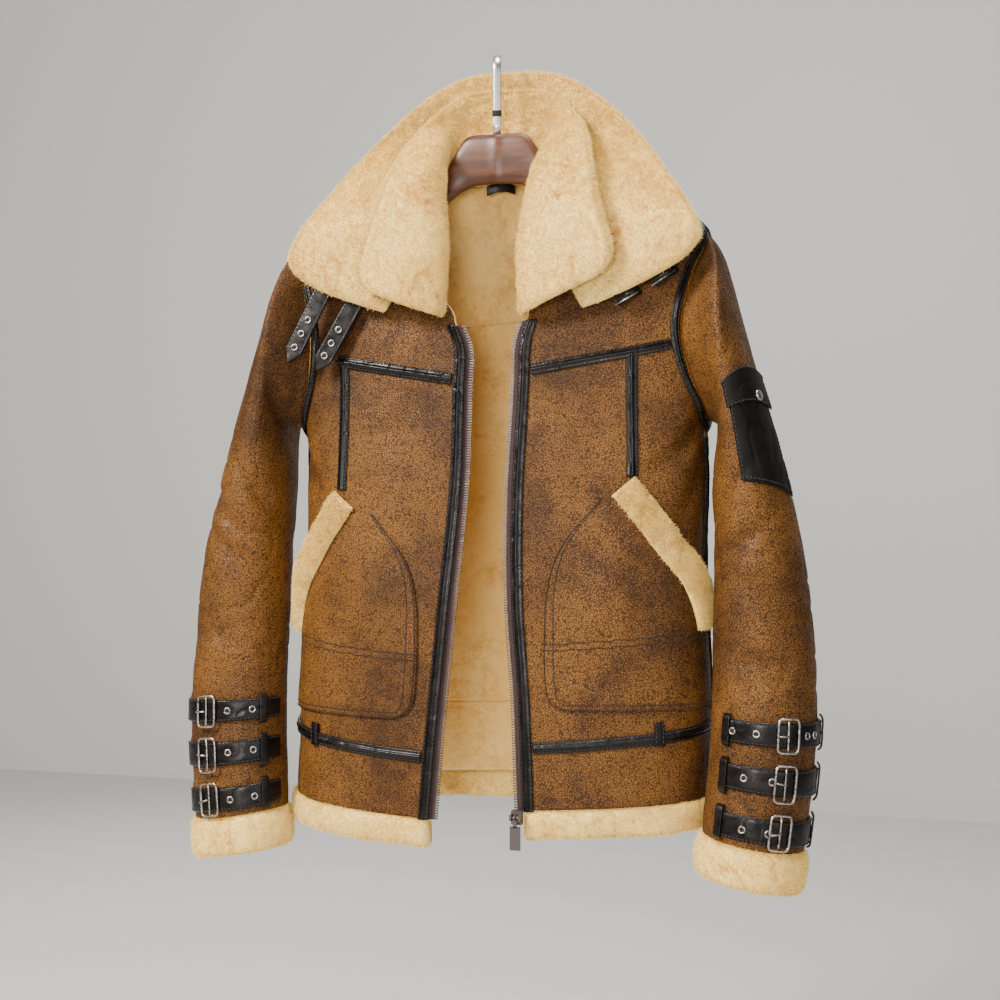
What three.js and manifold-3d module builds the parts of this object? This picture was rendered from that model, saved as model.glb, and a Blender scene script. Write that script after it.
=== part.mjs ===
// A shearling flight jacket hung open on a contoured wooden hanger.
// Millimetres, +Z up, the front faces -Y, +X is the sleeve with the pocket.
// The origin is the point inside the hanger's hook that rests on a rail.
import * as THREE from "three";
import Module from "manifold-3d";
import { mergeVertices } from "three/addons/utils/BufferGeometryUtils.js";

const wasm = await Module();
wasm.setup();

// Driving dimensions
const HIDE = 8; // leather with its sheared wool, on the body and the sleeves
const SEAM = 0.3; // clearance left at every seam
const LIFT = 0.6; // how far a strip stands off the curved panel under it
const TRIM_WIDTH = 12;
const OUTER_COLLAR = 15; // thickness, leather and long wool
const INNER_COLLAR = 14;
const HOOK = { radius: 17, width: 8.5, thick: 3, turn: 16 };
const SWAY = 6; // the hem hangs this far towards +X
const TILT = 5; // one side seam hangs this much lower than the other
const EDGE_DROP = 6; // and the front edges differ by this much more
const BRONZE = 0x9a5f2a, WOOL = 0xf0d9ae, BLACK = 0x1f1b1c, STEEL = 0xb9b6ae, WOOD = 0x7a3f24;

const rad = Math.PI / 180;
const V = (x, y, z) => new THREE.Vector3(x, y, z);
const lerp = (a, b, t) => a + (b - a) * t;
const stops = (count, a = 0, b = 1) => Array.from({ length: count + 1 }, (_, i) => lerp(a, b, i / count));
const smooth = (a, b, x) => {
  const t = Math.min(1, Math.max(0, (x - a) / (b - a)));
  return t * t * (3 - 2 * t);
};

// A table has its column names in one string and one row for each section.
function table(names, rows) {
  const keys = names.split(" ");
  return rows.map((row) => Object.fromEntries(keys.map((k, i) => [k, row[i]])));
}

// The smooth value of a column where the table's first column equals at.
function along(rows, column, at) {
  const key = Object.keys(rows[0])[0];
  const last = rows.length - 1;
  const up = rows[last][key] > rows[0][key] ? 1 : -1;
  let i = 0;
  while (i < last - 1 && (at - rows[i + 1][key]) * up > 0) i++;
  const slope = (j) => {
    const a = rows[Math.max(0, j - 1)], b = rows[Math.min(last, j + 1)];
    return (b[column] - a[column]) / (b[key] - a[key]);
  };
  const a = rows[i], b = rows[i + 1], span = b[key] - a[key];
  const t = Math.min(1, Math.max(0, (at - a[key]) / span));
  const h = t * t * (3 - 2 * t);
  return a[column] * (1 - h) + b[column] * h
    + span * (slope(i) * (t - 2 * t * t + t * t * t) + slope(i + 1) * (t * t * t - t * t));
}

// The body is a stack of rounded rings, measured from the hanger's plane.
const BODY = table("z half front back square", [
  [-128, 68, 24, 34, 2.0],
  [-136, 80, 27, 38, 2.1],
  [-150, 112, 30, 42, 2.2],
  [-168, 156, 33, 47, 2.4],
  [-195, 222, 37, 55, 2.7],
  [-240, 228, 42, 68, 3.0],
  [-300, 228, 50, 80, 3.0],
  [-350, 225, 56, 90, 2.8],
  [-400, 222, 63, 97, 2.7],
  [-480, 220, 74, 103, 2.6],
  [-560, 220, 83, 106, 2.6],
  [-640, 223, 90, 108, 2.5],
  [-745, 228, 97, 108, 2.5],
  [-845, 231, 101, 108, 2.5],
]);
// Half the gap between the zip's teeth on each front, from the middle of the body.
const OPENING = table("z left right", [
  [-288, 28, 40],
  [-318, 17, 31],
  [-357, 18, 29],
  [-470, 20, 25],
  [-590, 29, 28],
  [-690, 37, 37],
  [-800, 45, 43],
  [-845, 49, 46],
]);
const NECKLINE = table("z x", [[-128, 76], [-150, 86], [-175, 88], [-215, 80], [-255, 64], [-288, 46]]);
// The armhole's two edges, in degrees round the ring from the middle of the front.
const ARMHOLE = table("z front back", [
  [-195, 90, 90], [-203, 79, 101], [-217, 70, 109], [-250, 59, 117], [-300, 54, 122],
  [-345, 59, 118], [-377, 69, 110], [-392, 79, 101], [-400, 90, 90],
]);
const ARMHOLE_TOP = -195, ARMHOLE_LOW = -400, ZIP_TOP = -288;
// Seam heights at the front edge, at the side and at the middle of the back.
const NECK_SEAM = { edge: -134, side: -134, back: -134 };
const YOKE_SEAM = { edge: -350, side: -318 };
const BACK_YOKE_SEAM = { side: -300, back: -282 };
const WAIST_SEAM = { edge: -735, side: -711, back: -711 };
const HEM = { edge: -801, side: -788, back: -790 };
const PANEL_EDGE = 7; // the fronts end this far from the zip's teeth
const FACING = { near: 6, width: 12 }; // the strip beside the zip
// Soft folds of the body: where, how they lean, their size, and how far they stand out or sink in.
const BODY_FOLDS = table("side t z lean length width depth", [
  [1, 62, -430, 35, 60, 14, -5],
  [1, 70, -475, 50, 70, 16, -4],
  [-1, 66, -445, 40, 65, 16, -5],
  [-1, 30, -560, 80, 150, 40, 3],
  [1, 32, -600, 80, 140, 40, 3],
  [1, 150, -470, 20, 80, 22, -5],
  [-1, 145, -430, 30, 80, 20, -5],
  [1, 165, -620, 70, 110, 26, -4],
  [-1, 168, -560, 75, 130, 30, -4],
]);

// A point on the outside of the body: t is degrees round the ring from the middle of the front.
function body(side, t, z) {
  const c = Math.cos(t * rad), s = Math.sin(t * rad);
  const n = along(BODY, "square", z);
  const q = Math.pow(Math.pow(Math.abs(s), n) + Math.pow(Math.abs(c), n), -1 / n);
  const hangs = smooth(-200, -450, z);
  const fold = foldDepth(BODY_FOLDS, side, t, z, 2.6) * smooth(12, 24, t);
  const x = side * along(BODY, "half", z) * s * q;
  const y = -c * q * along(BODY, c > 0 ? "front" : "back", z);
  const drop = (TILT * s + EDGE_DROP * Math.max(0, c)) * side * hangs;
  return V(x + SWAY * hangs + side * s * fold, y - c * fold, z + drop);
}

// How far the folds of a table move the cloth at a place, given the length of one step of t.
function foldDepth(folds, side, t, z, step) {
  let sum = 0;
  for (const f of folds) {
    if (f.side !== side) continue;
    const a = (t - f.t) * step, b = z - f.z, c = Math.cos(f.lean * rad), s = Math.sin(f.lean * rad);
    sum += f.depth * Math.exp(-(((a * c + b * s) / f.length) ** 2) - (((b * c - a * s) / f.width) ** 2));
  }
  return sum;
}
function frontAngle(x, z) {
  const n = along(BODY, "square", z);
  const share = Math.min(0.9999, x / along(BODY, "half", z));
  return Math.atan(Math.pow(Math.pow(share, n) / (1 - Math.pow(share, n)), 1 / n)) / rad;
}
const teeth = (side, z) => along(OPENING, side > 0 ? "right" : "left", Math.min(z, ZIP_TOP));
function edgeAngle(side, z, inset) {
  const opening = teeth(side, z) + inset;
  return frontAngle(lerp(opening, along(NECKLINE, "x", z), smooth(ZIP_TOP, ZIP_TOP + 40, z)), z);
}
const sideAngle = (z, edge) => (z > ARMHOLE_TOP || z < ARMHOLE_LOW ? 90 : along(ARMHOLE, edge, z));

// Geometry from loose corners, turned to face outwards.
function closed(points, faces) {
  let volume = 0;
  for (const [a, b, c] of faces) volume += points[a].dot(points[b].clone().cross(points[c])) / 6;
  const g = new THREE.BufferGeometry();
  const flat = new Float32Array(points.flatMap((p) => [p.x, p.y, p.z]));
  g.setAttribute("position", new THREE.BufferAttribute(flat, 3));
  g.setIndex(faces.flatMap(([a, b, c]) => (volume > 0 ? [a, b, c] : [a, c, b])));
  return g;
}

// Rings of equal size joined in order. A run that doesn't close on itself is capped.
function loft(rings, round = false) {
  const n = rings[0].length, points = rings.flat(), faces = [];
  for (let i = 0; i < rings.length - (round ? 0 : 1); i++)
    for (let j = 0; j < n; j++) {
      const a = i * n + j, b = i * n + (j + 1) % n;
      const k = ((i + 1) % rings.length) * n;
      faces.push([a, b, k + (j + 1) % n], [a, k + (j + 1) % n, k + j]);
    }
  if (!round)
    for (const [i, turn] of [[0, 1], [rings.length - 1, -1]]) {
      points.push(rings[i].reduce((s, p) => s.add(p), V(0, 0, 0)).multiplyScalar(1 / n));
      for (let j = 0; j < n; j++) {
        const a = i * n + j, b = i * n + (j + 1) % n;
        faces.push(turn > 0 ? [points.length - 1, b, a] : [points.length - 1, a, b]);
      }
    }
  return closed(points, faces);
}

// A shell between two grids over the same stops.
function shell(outerAt, innerAt, us, vs) {
  const nu = us.length, nv = vs.length, faces = [];
  const points = [outerAt, innerAt].flatMap((at) => vs.flatMap((v) => us.map((u) => at(u, v))));
  const count = nu * nv, id = (i, j) => j * nu + i;
  const quad = (a, b, c, d) => faces.push([a, b, c], [a, c, d]);
  for (let j = 0; j < nv - 1; j++)
    for (let i = 0; i < nu - 1; i++) {
      const a = id(i, j), b = id(i + 1, j), c = id(i + 1, j + 1), d = id(i, j + 1);
      quad(a, b, c, d);
      quad(count + c, count + b, count + a, count + d);
    }
  for (let i = 0; i < nu - 1; i++) {
    const low = id(i, 0), high = id(i, nv - 1);
    quad(low, count + low, count + low + 1, low + 1);
    quad(high + 1, count + high + 1, count + high, high);
  }
  for (let j = 0; j < nv - 1; j++) {
    const near = id(0, j), far = id(nu - 1, j);
    quad(near, near + nu, count + near + nu, count + near);
    quad(far, count + far, count + far + nu, far + nu);
  }
  return closed(points, faces);
}

function normalAt(at, u, v, away) {
  const e = 0.002;
  const du = at(u + e, v).sub(at(u - e, v)), dv = at(u, v + e).sub(at(u, v - e));
  const n = du.cross(dv).normalize();
  return n.multiplyScalar(n.dot(away) < 0 ? -1 : 1);
}

// A wall of cloth on the surface at(u, v), from one height to another along the way out of it.
function wall({ at, us, vs, from, to, out }) {
  const height = (h, u, v) => (typeof h === "function" ? h(u, v) : h);
  const offset = (h) => (u, v) => {
    const p = at(u, v);
    return p.clone().addScaledVector(normalAt(at, u, v, out(p, u, v)), height(h, u, v));
  };
  return shell(offset(to), offset(from), us, vs);
}
const fromBody = (p) => V(p.x - SWAY, p.y, 0);

// Solids joined into one, or cut out of one.
function solid(geometry) {
  const plain = geometry.clone();
  plain.deleteAttribute("normal");
  plain.deleteAttribute("uv");
  const merged = mergeVertices(plain, 1e-4);
  return new wasm.Manifold(new wasm.Mesh({
    numProp: 3,
    vertProperties: merged.attributes.position.array,
    triVerts: new Uint32Array(merged.index.array),
  }));
}
function geometryOf(made) {
  const mesh = made.getMesh(), g = new THREE.BufferGeometry();
  const position = new Float32Array(mesh.numVert * 3);
  for (let i = 0; i < mesh.numVert; i++)
    position.set(mesh.vertProperties.subarray(i * mesh.numProp, i * mesh.numProp + 3), i * 3);
  g.setAttribute("position", new THREE.BufferAttribute(position, 3));
  g.setIndex(new THREE.BufferAttribute(mesh.triVerts, 1));
  return g;
}
const joined = (...parts) => geometryOf(parts.map(solid).reduce((a, b) => a.add(b)));

const root = new THREE.Group();
const coat = new THREE.Group();
coat.position.set(HOOK.radius * Math.sin(HOOK.turn * rad), -HOOK.radius * Math.cos(HOOK.turn * rad), 0);
root.add(coat);
const finish = {
  bronze: () => new THREE.MeshStandardMaterial({ color: BRONZE, roughness: 0.6, metalness: 0 }),
  wool: () => new THREE.MeshStandardMaterial({ color: WOOL, roughness: 1, metalness: 0 }),
  black: () => new THREE.MeshStandardMaterial({ color: BLACK, roughness: 0.4, metalness: 0 }),
  steel: () => new THREE.MeshStandardMaterial({ color: STEEL, roughness: 0.3, metalness: 1 }),
  wood: () => new THREE.MeshStandardMaterial({ color: WOOD, roughness: 0.35, metalness: 0 }),
};
function add(name, geometry, look, group = coat) {
  const mesh = new THREE.Mesh(geometry, finish[look]());
  mesh.name = name;
  group.add(mesh);
}
const SIDES = [["left", -1], ["right", 1]];
const shifted = (seam, by) => Object.fromEntries(Object.entries(seam).map(([k, z]) => [k, z + by]));

// Fronts, yokes, bands and back, each ruled across between two seams
const SIDE_GAP = 0.3; // degrees left free at each side of a side or shoulder seam
function frontPanel(name, side, top, bottom, vs, columns) {
  const at = (u, v) => {
    const zi = lerp(top.edge, bottom.edge, v), zo = lerp(top.side, bottom.side, v);
    const t = lerp(edgeAngle(side, zi, PANEL_EDGE), sideAngle(zo, "front") - SIDE_GAP, u);
    return body(side, t, lerp(zi, zo, u));
  };
  add(name, wall({ at, us: stops(columns), vs, from: -HIDE, to: 0, out: fromBody }), "bronze");
}
function backPanel(name, top, bottom, vs) {
  const at = (u, v) => {
    const w = Math.abs(u);
    const zo = lerp(top.side, bottom.side, v), zb = lerp(top.back, bottom.back, v);
    return body(u < 0 ? -1 : 1, lerp(180, sideAngle(zo, "back") + SIDE_GAP, w), lerp(zb, zo, w));
  };
  add(name, wall({ at, us: stops(16, -1, 1), vs, from: -HIDE, to: 0, out: fromBody }), "bronze");
}
const yokeRows = [0, 0.09, 0.19, 0.29, 0.335, 0.37, 0.43, 0.52, 0.62, 0.713, 0.76, 0.81, 0.86, 0.93, 1];
const frontRows = [0, 0.06, 0.115, 0.165, 0.21, 0.28, 0.36, 0.46, 0.57, 0.68, 0.79, 0.9, 1];
for (const [name, side] of SIDES) {
  frontPanel("yoke_" + name, side, NECK_SEAM, shifted(YOKE_SEAM, SEAM / 2), yokeRows, 7);
  const [yoke, waist] = [shifted(YOKE_SEAM, -SEAM / 2), shifted(WAIST_SEAM, SEAM / 2)];
  frontPanel("front_" + name, side, yoke, waist, frontRows, 12);
  frontPanel("band_" + name, side, shifted(WAIST_SEAM, -SEAM / 2), HEM, stops(2), 12);
}
const backYokeRows = [0, 0.09, 0.21, 0.33, 0.376, 0.43, 0.53, 0.76, 1];
backPanel("back_yoke", NECK_SEAM, shifted(BACK_YOKE_SEAM, SEAM / 2), backYokeRows);
backPanel("back", shifted(BACK_YOKE_SEAM, -SEAM / 2), shifted(WAIST_SEAM, SEAM / 2),
  [0, 0.08, 0.16, 0.21, 0.245, 0.34, 0.46, 0.6, 0.73, 0.86, 1]);
backPanel("back_band", shifted(WAIST_SEAM, -SEAM / 2), HEM, stops(2));

// Sleeves: an upper and an under piece each, from the armhole to the fur cuff
const SLEEVE = table("s outX outZ inX inZ y deep", [
  [1, 247, -226, 242, -402, -6, 60],
  [2, 267, -294, 243, -411, -10, 61],
  [3, 285, -356, 241, -424, -14, 60],
  [4, 301, -410, 238, -449, -17, 58],
  [5, 318, -472, 238, -496, -20, 56],
  [6, 332, -537, 239, -550, -24, 54],
  [7, 341, -610, 239, -618, -29, 51],
  [8, 345, -688, 240, -684, -36, 49],
  [9, 342, -757, 237, -745, -42, 48],
  [10, 334, -828, 232, -812, -50, 46],
]);
const SLEEVE_FOLDS = table("side t z lean length width depth", [
  [-1, 70, 5.3, 25, 45, 11, -6],
  [-1, 95, 5.9, 20, 50, 12, -5],
  [-1, 110, 4.6, 30, 40, 12, -5],
  [-1, 60, 7.2, -15, 40, 10, -3],
  [1, 100, 5.6, 25, 45, 12, -6],
  [1, 60, 6.6, -25, 50, 11, -5],
  [1, 75, 7.4, -15, 45, 10, -4],
  [1, 115, 4.7, 30, 40, 12, -5],
  [-1, 260, 5.4, -20, 50, 13, -5],
  [1, 265, 5.2, 20, 50, 13, -5],
  [1, 250, 6.4, -10, 45, 11, -4],
]);
const LEAN_IN = { left: 7, right: 0 }; // the left sleeve hangs closer to the body
const SLEEVE_STEP = 70; // millimetres of sleeve for one step of s

function armhole(side, phi) {
  const c = Math.cos(phi * rad);
  const z = lerp(ARMHOLE_LOW, ARMHOLE_TOP, (1 + c) / 2);
  return body(side, sideAngle(z, Math.sin(phi * rad) > 0 ? "front" : "back"), z).add(V(side * 1.1, 0, 0));
}
function sleeveRing(side, phi, row) {
  const c = Math.cos(phi * rad), s = Math.sin(phi * rad);
  const x = lerp(row.inX, row.outX, (1 + c) / 2), z = lerp(row.inZ, row.outZ, (1 + c) / 2);
  return V(side * x + LEAN_IN[side > 0 ? "right" : "left"], row.y - row.deep * s, z);
}
function sleeveCentre(side, s) {
  const get = (column) => along(SLEEVE, column, Math.max(1, s));
  const x = side * (get("inX") + get("outX")) / 2 + LEAN_IN[side > 0 ? "right" : "left"];
  return V(x, get("y"), (get("inZ") + get("outZ")) / 2);
}
// A point on the outside of a sleeve: phi is degrees from its outer side through its front.
function sleeve(side, phi, s) {
  const i = Math.min(9, Math.max(0, Math.floor(s))), t = s - i;
  const at = (k) => (k <= 0 ? armhole(side, phi) : sleeveRing(side, phi, SLEEVE[Math.min(10, k) - 1]));
  const a = at(i - 1), b = at(i), c = at(i + 1), d = at(i + 2);
  const mix = (axis) => 0.5 * (2 * b[axis] + (c[axis] - a[axis]) * t
    + (2 * a[axis] - 5 * b[axis] + 4 * c[axis] - d[axis]) * t * t
    + (3 * b[axis] - a[axis] - 3 * c[axis] + d[axis]) * t * t * t);
  const p = V(mix("x"), mix("y"), mix("z"));
  const turned = ((phi % 360) + 360) % 360;
  const folds = SLEEVE_FOLDS.map((f) => ({ ...f, z: f.z * SLEEVE_STEP }));
  const fold = foldDepth(folds, side, turned, s * SLEEVE_STEP, 1);
  return p.add(p.clone().sub(sleeveCentre(side, s)).setZ(0).normalize().multiplyScalar(fold));
}
function sleevePiece(name, side, from, to, columns) {
  // The wool is pressed at the shoulder.
  const bend = (v) => 1 - 0.55 * smooth(-3, 0.4, v) * smooth(3.2, 1.8, v);
  const at = (u, v) => sleeve(side, u, v);
  const out = (p, u, v) => p.clone().sub(sleeveCentre(side, v)).multiply(V(1, 1, v > 1.2 ? 0 : 1));
  const inner = (u, v) => {
    const p = at(u, v), n = normalAt(at, u, v, out(p, u, v));
    const flatIn = V(0, -4 * p.y, -298 - p.z).normalize();
    return p.addScaledVector(flatIn.lerp(n.negate(), smooth(0.2, 1.5, v)).normalize(), HIDE * bend(v));
  };
  const rows = [0, 0.4, 1, 1.6, 2.3, 3, 3.6, 4.2, 4.7, 5.2, 5.7, 6.3, 7, 7.7, 8.5, 9.3, 10];
  add(name, shell(at, inner, stops(columns, from, to), rows), "bronze");
}
for (const [name, side] of SIDES) {
  sleevePiece("top_sleeve_" + name, side, -89.7, 124.7, 13);
  sleevePiece("under_sleeve_" + name, side, 125.3, 269.7, 8);
}

// Fur bands at the cuffs and the hem
const CUFF_FUR = { height: 40, thick: 17 };
const HEM_FUR = { height: 29, thick: 17 };
const roundedSquare = (width, height, sides) => Array.from({ length: sides }, (_, i) => {
  const a = ((i + 0.5) / sides) * 2 * Math.PI, c = Math.cos(a), s = Math.sin(a);
  const q = Math.pow(Math.abs(c) ** 3 + Math.abs(s) ** 3, -1 / 3);
  return [c * q * width / 2, s * q * height / 2];
});
for (const [name, side] of SIDES) {
  const end = V(0, 0, 0).subVectors(sleeveCentre(side, 10), sleeveCentre(side, 9.5)).normalize();
  add("cuff_fur_" + name, loft(Array.from({ length: 18 }, (_, i) => {
    const edge = sleeve(side, i * 20, 10), middle = sleeveCentre(side, 10);
    const outward = edge.clone().sub(middle).normalize();
    const core = edge.addScaledVector(outward, -3).addScaledVector(end, CUFF_FUR.height / 2 + SEAM + 0.4);
    return roundedSquare(CUFF_FUR.thick, CUFF_FUR.height, 8)
      .map(([a, b]) => core.clone().addScaledVector(outward, a).addScaledVector(end, b));
  }), true), "wool");
}
function hemFur(name, sideOf, tOf, zOf, count) {
  add(name, loft(stops(count).map((u) => {
    const side = sideOf(u), p = body(side, tOf(u), zOf(u));
    const outward = fromBody(p).normalize();
    const core = p.addScaledVector(outward, 1 - HIDE / 2).add(V(0, 0, -HEM_FUR.height / 2 - SEAM - 0.2));
    return roundedSquare(HEM_FUR.thick, HEM_FUR.height, 8)
      .map(([a, b]) => core.clone().addScaledVector(outward, a).add(V(0, 0, b)));
  })), "wool");
}
for (const [name, side] of SIDES)
  hemFur("hem_fur_" + name, () => side,
    (u) => lerp(edgeAngle(side, HEM.edge, PANEL_EDGE + 3), 89.7, u),
    (u) => lerp(HEM.edge, HEM.side, u), 12);
const backHemAngle = (u) => 180 - 89.7 * Math.abs(2 * u - 1);
hemFur("hem_fur_back", (u) => (u < 0.5 ? -1 : 1), backHemAngle, () => HEM.back, 16);

// The two collars, one standing inside the other and both opened out over the shoulders.
// Each station has four points: the neck seam (n), two on the roll (f, g) and the free edge (e).
const OUTER = table("w nx ny nz fx fy fz gx gy gz ex ey ez", [
  [0, 0, 44.8, -142, 0, 53, -86, 0, 58, -46, 0, 57, -8],
  [0.14, 47, 39.8, -141, 52, 46, -88, 57, 52, -50, 58, 52, -15],
  [0.28, 79, 24, -130, 90, 30, -97, 102, 35, -68, 110, 36, -48],
  [0.42, 91, 2, -128, 112, 6, -112, 134, 12, -98, 152, 16, -92],
  [0.56, 90, -22, -138, 122, -20, -140, 154, -14, -136, 182, -4, -132],
  [0.7, 84, -40, -168, 124, -42, -172, 168, -38, -168, 208, -24, -168],
  [0.84, 78, -48, -212, 130, -54, -212, 182, -56, -200, 226, -44, -198],
  [1, 104, -58, -282, 140, -60, -270, 188, -60, -248, 232, -55, -221],
]);
const INNER = table("w nx ny nz fx fy fz gx gy gz ex ey ez", [
  [0, 0, 24.9, -138, 0, 35, -94, 0, 40, -62, 0, 38, -31],
  [0.14, 37, 20.3, -137, 42, 29, -95, 47, 34, -64, 50, 33, -37],
  [0.28, 61, 10, -126, 61, 8, -104, 69, 10, -84, 86, 14, -68],
  [0.42, 69, -9, -128, 60, -20, -117, 72, -26, -104, 104, -13, -98],
  [0.56, 69, -17, -150, 54, -37, -138, 73, -49, -128, 114, -40, -126],
  [0.7, 66, -27, -185, 50, -50, -172, 75, -64, -162, 124, -60, -158],
  [0.84, 58, -37, -235, 46, -60, -222, 78, -73, -208, 138, -73, -197],
  [1, 42, -57, -288, 56, -70, -282, 100, -79, -263, 152, -76, -240],
]);
function collarAt(rows, u, v) {
  const w = Math.abs(u);
  const near = rows[1];
  const mirror = { ...near, w: -near.w, nx: -near.nx, fx: -near.fx, gx: -near.gx, ex: -near.ex };
  const mirrored = [mirror, ...rows];
  const shift = u < 0 ? 11 * smooth(0.1, 0.45, w) : 0, drop = u < 0 ? 11 * smooth(0.6, 1, w) : 0;
  const point = (k, share) => V((u < 0 ? -1 : 1) * along(mirrored, k + "x", w) + shift * share,
    along(mirrored, k + "y", w), along(mirrored, k + "z", w) - drop * share);
  const quarter = ["n", "f", "g", "e"].map((k, i) => ({ at: i / 3, ...point(k, [0, 0.1, 0.7, 1][i]) }));
  return V(along(quarter, "x", v), along(quarter, "y", v), along(quarter, "z", v));
}
function collarOut(rows, u, v) {
  const p = collarAt(rows, u, v);
  return p.clone().sub(collarAt(rows, u + 0.01, v)).cross(collarAt(rows, u, v + 0.01).sub(p));
}
function collar(name, rows, thick) {
  const edge = (u, v) => 1 - 0.45 * Math.abs(2 * v - 1) ** 6 - 0.35 * Math.abs(u) ** 16;
  add(name, wall({
    at: (u, v) => collarAt(rows, u, v),
    us: stops(28, -1, 1),
    vs: [0, 0.12, 0.25, 0.38, 0.52, 0.68, 0.84, 0.95, 1],
    from: (u, v) => -thick / 2 * edge(u, v),
    to: (u, v) => thick / 2 * edge(u, v),
    out: (p, u, v) => collarOut(rows, Math.min(u, 0.99), Math.min(v, 0.99)),
  }), "wool");
}
collar("outer_collar", OUTER, OUTER_COLLAR);
collar("inner_collar", INNER, INNER_COLLAR);

// Strips that lie on a panel: their path is given round the ring and in height
const mmPerDegree = (side, t, z) => body(side, t + 0.5, z).distanceTo(body(side, t - 0.5, z));
function ribbon(side, path, width) {
  return (u, v) => {
    const at = (w) => ({ t: along(path, "t", w), z: along(path, "z", w) });
    const p = at(u), a = at(Math.max(0, u - 0.02)), b = at(Math.min(1, u + 0.02));
    const m = mmPerDegree(side, p.t, p.z);
    const dt = (b.t - a.t) * m, dz = b.z - a.z, length = Math.hypot(dt, dz);
    const half = typeof width === "function" ? width(u) : width;
    return body(side, p.t - (dz / length) * half * v / m, p.z + (dt / length) * half * v);
  };
}
const ridge = (low) => (u, v) => low + (Math.abs(v) < 0.5 ? 2.8 : 1.4);
const welt = ridge(LIFT);
const WELT_STOPS = [-1, -0.3, 0.3, 1];
function trim(side, path, count, width = TRIM_WIDTH) {
  const at = ribbon(side, path, width / 2);
  return wall({ at, us: stops(count), vs: WELT_STOPS, from: LIFT, to: welt, out: fromBody });
}
const pathOf = (rows) => table("u t z", rows);
const seamZ = (seam, u) => lerp(seam.edge, seam.side, u);

const halfSeam = (side, seam, from, to, by = 0) => {
  const t0 = edgeAngle(side, seam.edge, PANEL_EDGE), t1 = sideAngle(seam.side, "front");
  return pathOf(stops(6).map((w) => {
    const u = lerp(from, to, w);
    return [w, lerp(t0, t1, u), seamZ(seam, u) + by];
  }));
};
const plate = (at, us, vs, from, to, out = fromBody) => wall({ at, us, vs, from, to, out });

// Leather strips over the yoke, side, armhole and waist seams
const UPRIGHT = { left: 160, right: 153 }; // the strip from the yoke down to the pocket, from the middle
const TAB_T = { left: 51, right: 49 };
function armholeRing(side, from, to) {
  const at = (phi) => {
    const z = lerp(ARMHOLE_LOW, ARMHOLE_TOP, (1 + Math.cos(phi * rad)) / 2);
    return [sideAngle(z, Math.sin(phi * rad) > 0 ? "front" : "back"), z];
  };
  return (phi, v) => {
    const [t, z] = at(phi), [ta, za] = at(phi - 8), [tb, zb] = at(phi + 8);
    const dt = (tb - ta) * 3, dz = zb - za, length = Math.hypot(dt, dz), d = lerp(from, to, (1 + v) / 2);
    return body(side, t + (dz / length) * d / 3, z - (dt / length) * d);
  };
}
const trimLow = (phi) => 1.5 + 1.5 * smooth(70, 15, Math.abs(phi - 360)); // higher over the shoulder seam
for (const [name, side] of SIDES) {
  const t0 = edgeAngle(side, YOKE_SEAM.edge, PANEL_EDGE), t1 = sideAngle(YOKE_SEAM.side, "front");
  const t = frontAngle(UPRIGHT[name], -350), top = seamZ(YOKE_SEAM, (t - t0) / (t1 - t0));
  const outerEnd = side < 0 ? 0.73 : 0.89;
  const fromFacing = (seam) => {
    const a = edgeAngle(side, seam.edge, PANEL_EDGE);
    const b = edgeAngle(side, seam.edge, FACING.near + FACING.width + 1.8);
    return (b - a) / (sideAngle(seam.side, "front") - a);
  };
  add("yoke_trim_" + name, joined(
    trim(side, halfSeam(side, YOKE_SEAM, fromFacing(YOKE_SEAM), outerEnd), 9),
    trim(side, pathOf([[0, t, top - 2], [1, frontAngle(UPRIGHT[name] + 2, -455), -454]]), 5),
  ), "black");
  const tab = pathOf([[0, TAB_T[name], -711], [1, TAB_T[name], -735]]);
  add("waist_trim_" + name, joined(
    trim(side, halfSeam(side, WAIST_SEAM, fromFacing(WAIST_SEAM), 0.95, -4), 12),
    plate(ribbon(side, tab, 5), stops(2), [-1, 1], LIFT, 4.6),
  ), "black");
  const round = stops(22, 180.4, 539.6), trimTop = (phi, v) => ridge(trimLow(phi))(phi, v);
  add("armhole_trim_" + name, plate(armholeRing(side, 2.5, 13.5), round, WELT_STOPS, trimLow, trimTop), "black");
  add("side_trim_" + name, trim(side, pathOf([[0, 90, -418], [1, 90, -702]]), 7, 9), "black");
}
const backWaist = (u, v) =>
  body(u < 0 ? -1 : 1, 180 - 84 * Math.abs(u), WAIST_SEAM.back - 4 + v * TRIM_WIDTH / 2);
add("waist_trim_back", plate(backWaist, stops(16, -1, 1), WELT_STOPS, 1.4, ridge(1.4)), "black");

// The zip: a facing strip on each front, and the tape with its row of teeth
const zipStops = [0, 0.02, 0.045, 0.08, 0.13, 0.22, 0.34, 0.47, 0.6, 0.73, 0.87, 1];
const TAPE = { near: -1.5, far: 5.8 };
for (const [name, side] of SIDES) {
  const beside = (from, to) => (u, v) => {
    const z = lerp(-293, -802, u);
    return body(side, edgeAngle(side, z, lerp(from, to, (1 + v) / 2)), z);
  };
  const facing = beside(FACING.near, FACING.near + FACING.width);
  add("zip_facing_" + name, plate(facing, zipStops, WELT_STOPS, LIFT, welt), "black");
  add("zip_" + name, plate(beside(TAPE.near, TAPE.far), zipStops, [-1, -0.4, 1],
    (u, v) => (v < -0.5 ? -4.4 : -3.6), (u, v) => (v < -0.5 ? -1 : -1.8)), "steel");
}

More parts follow.
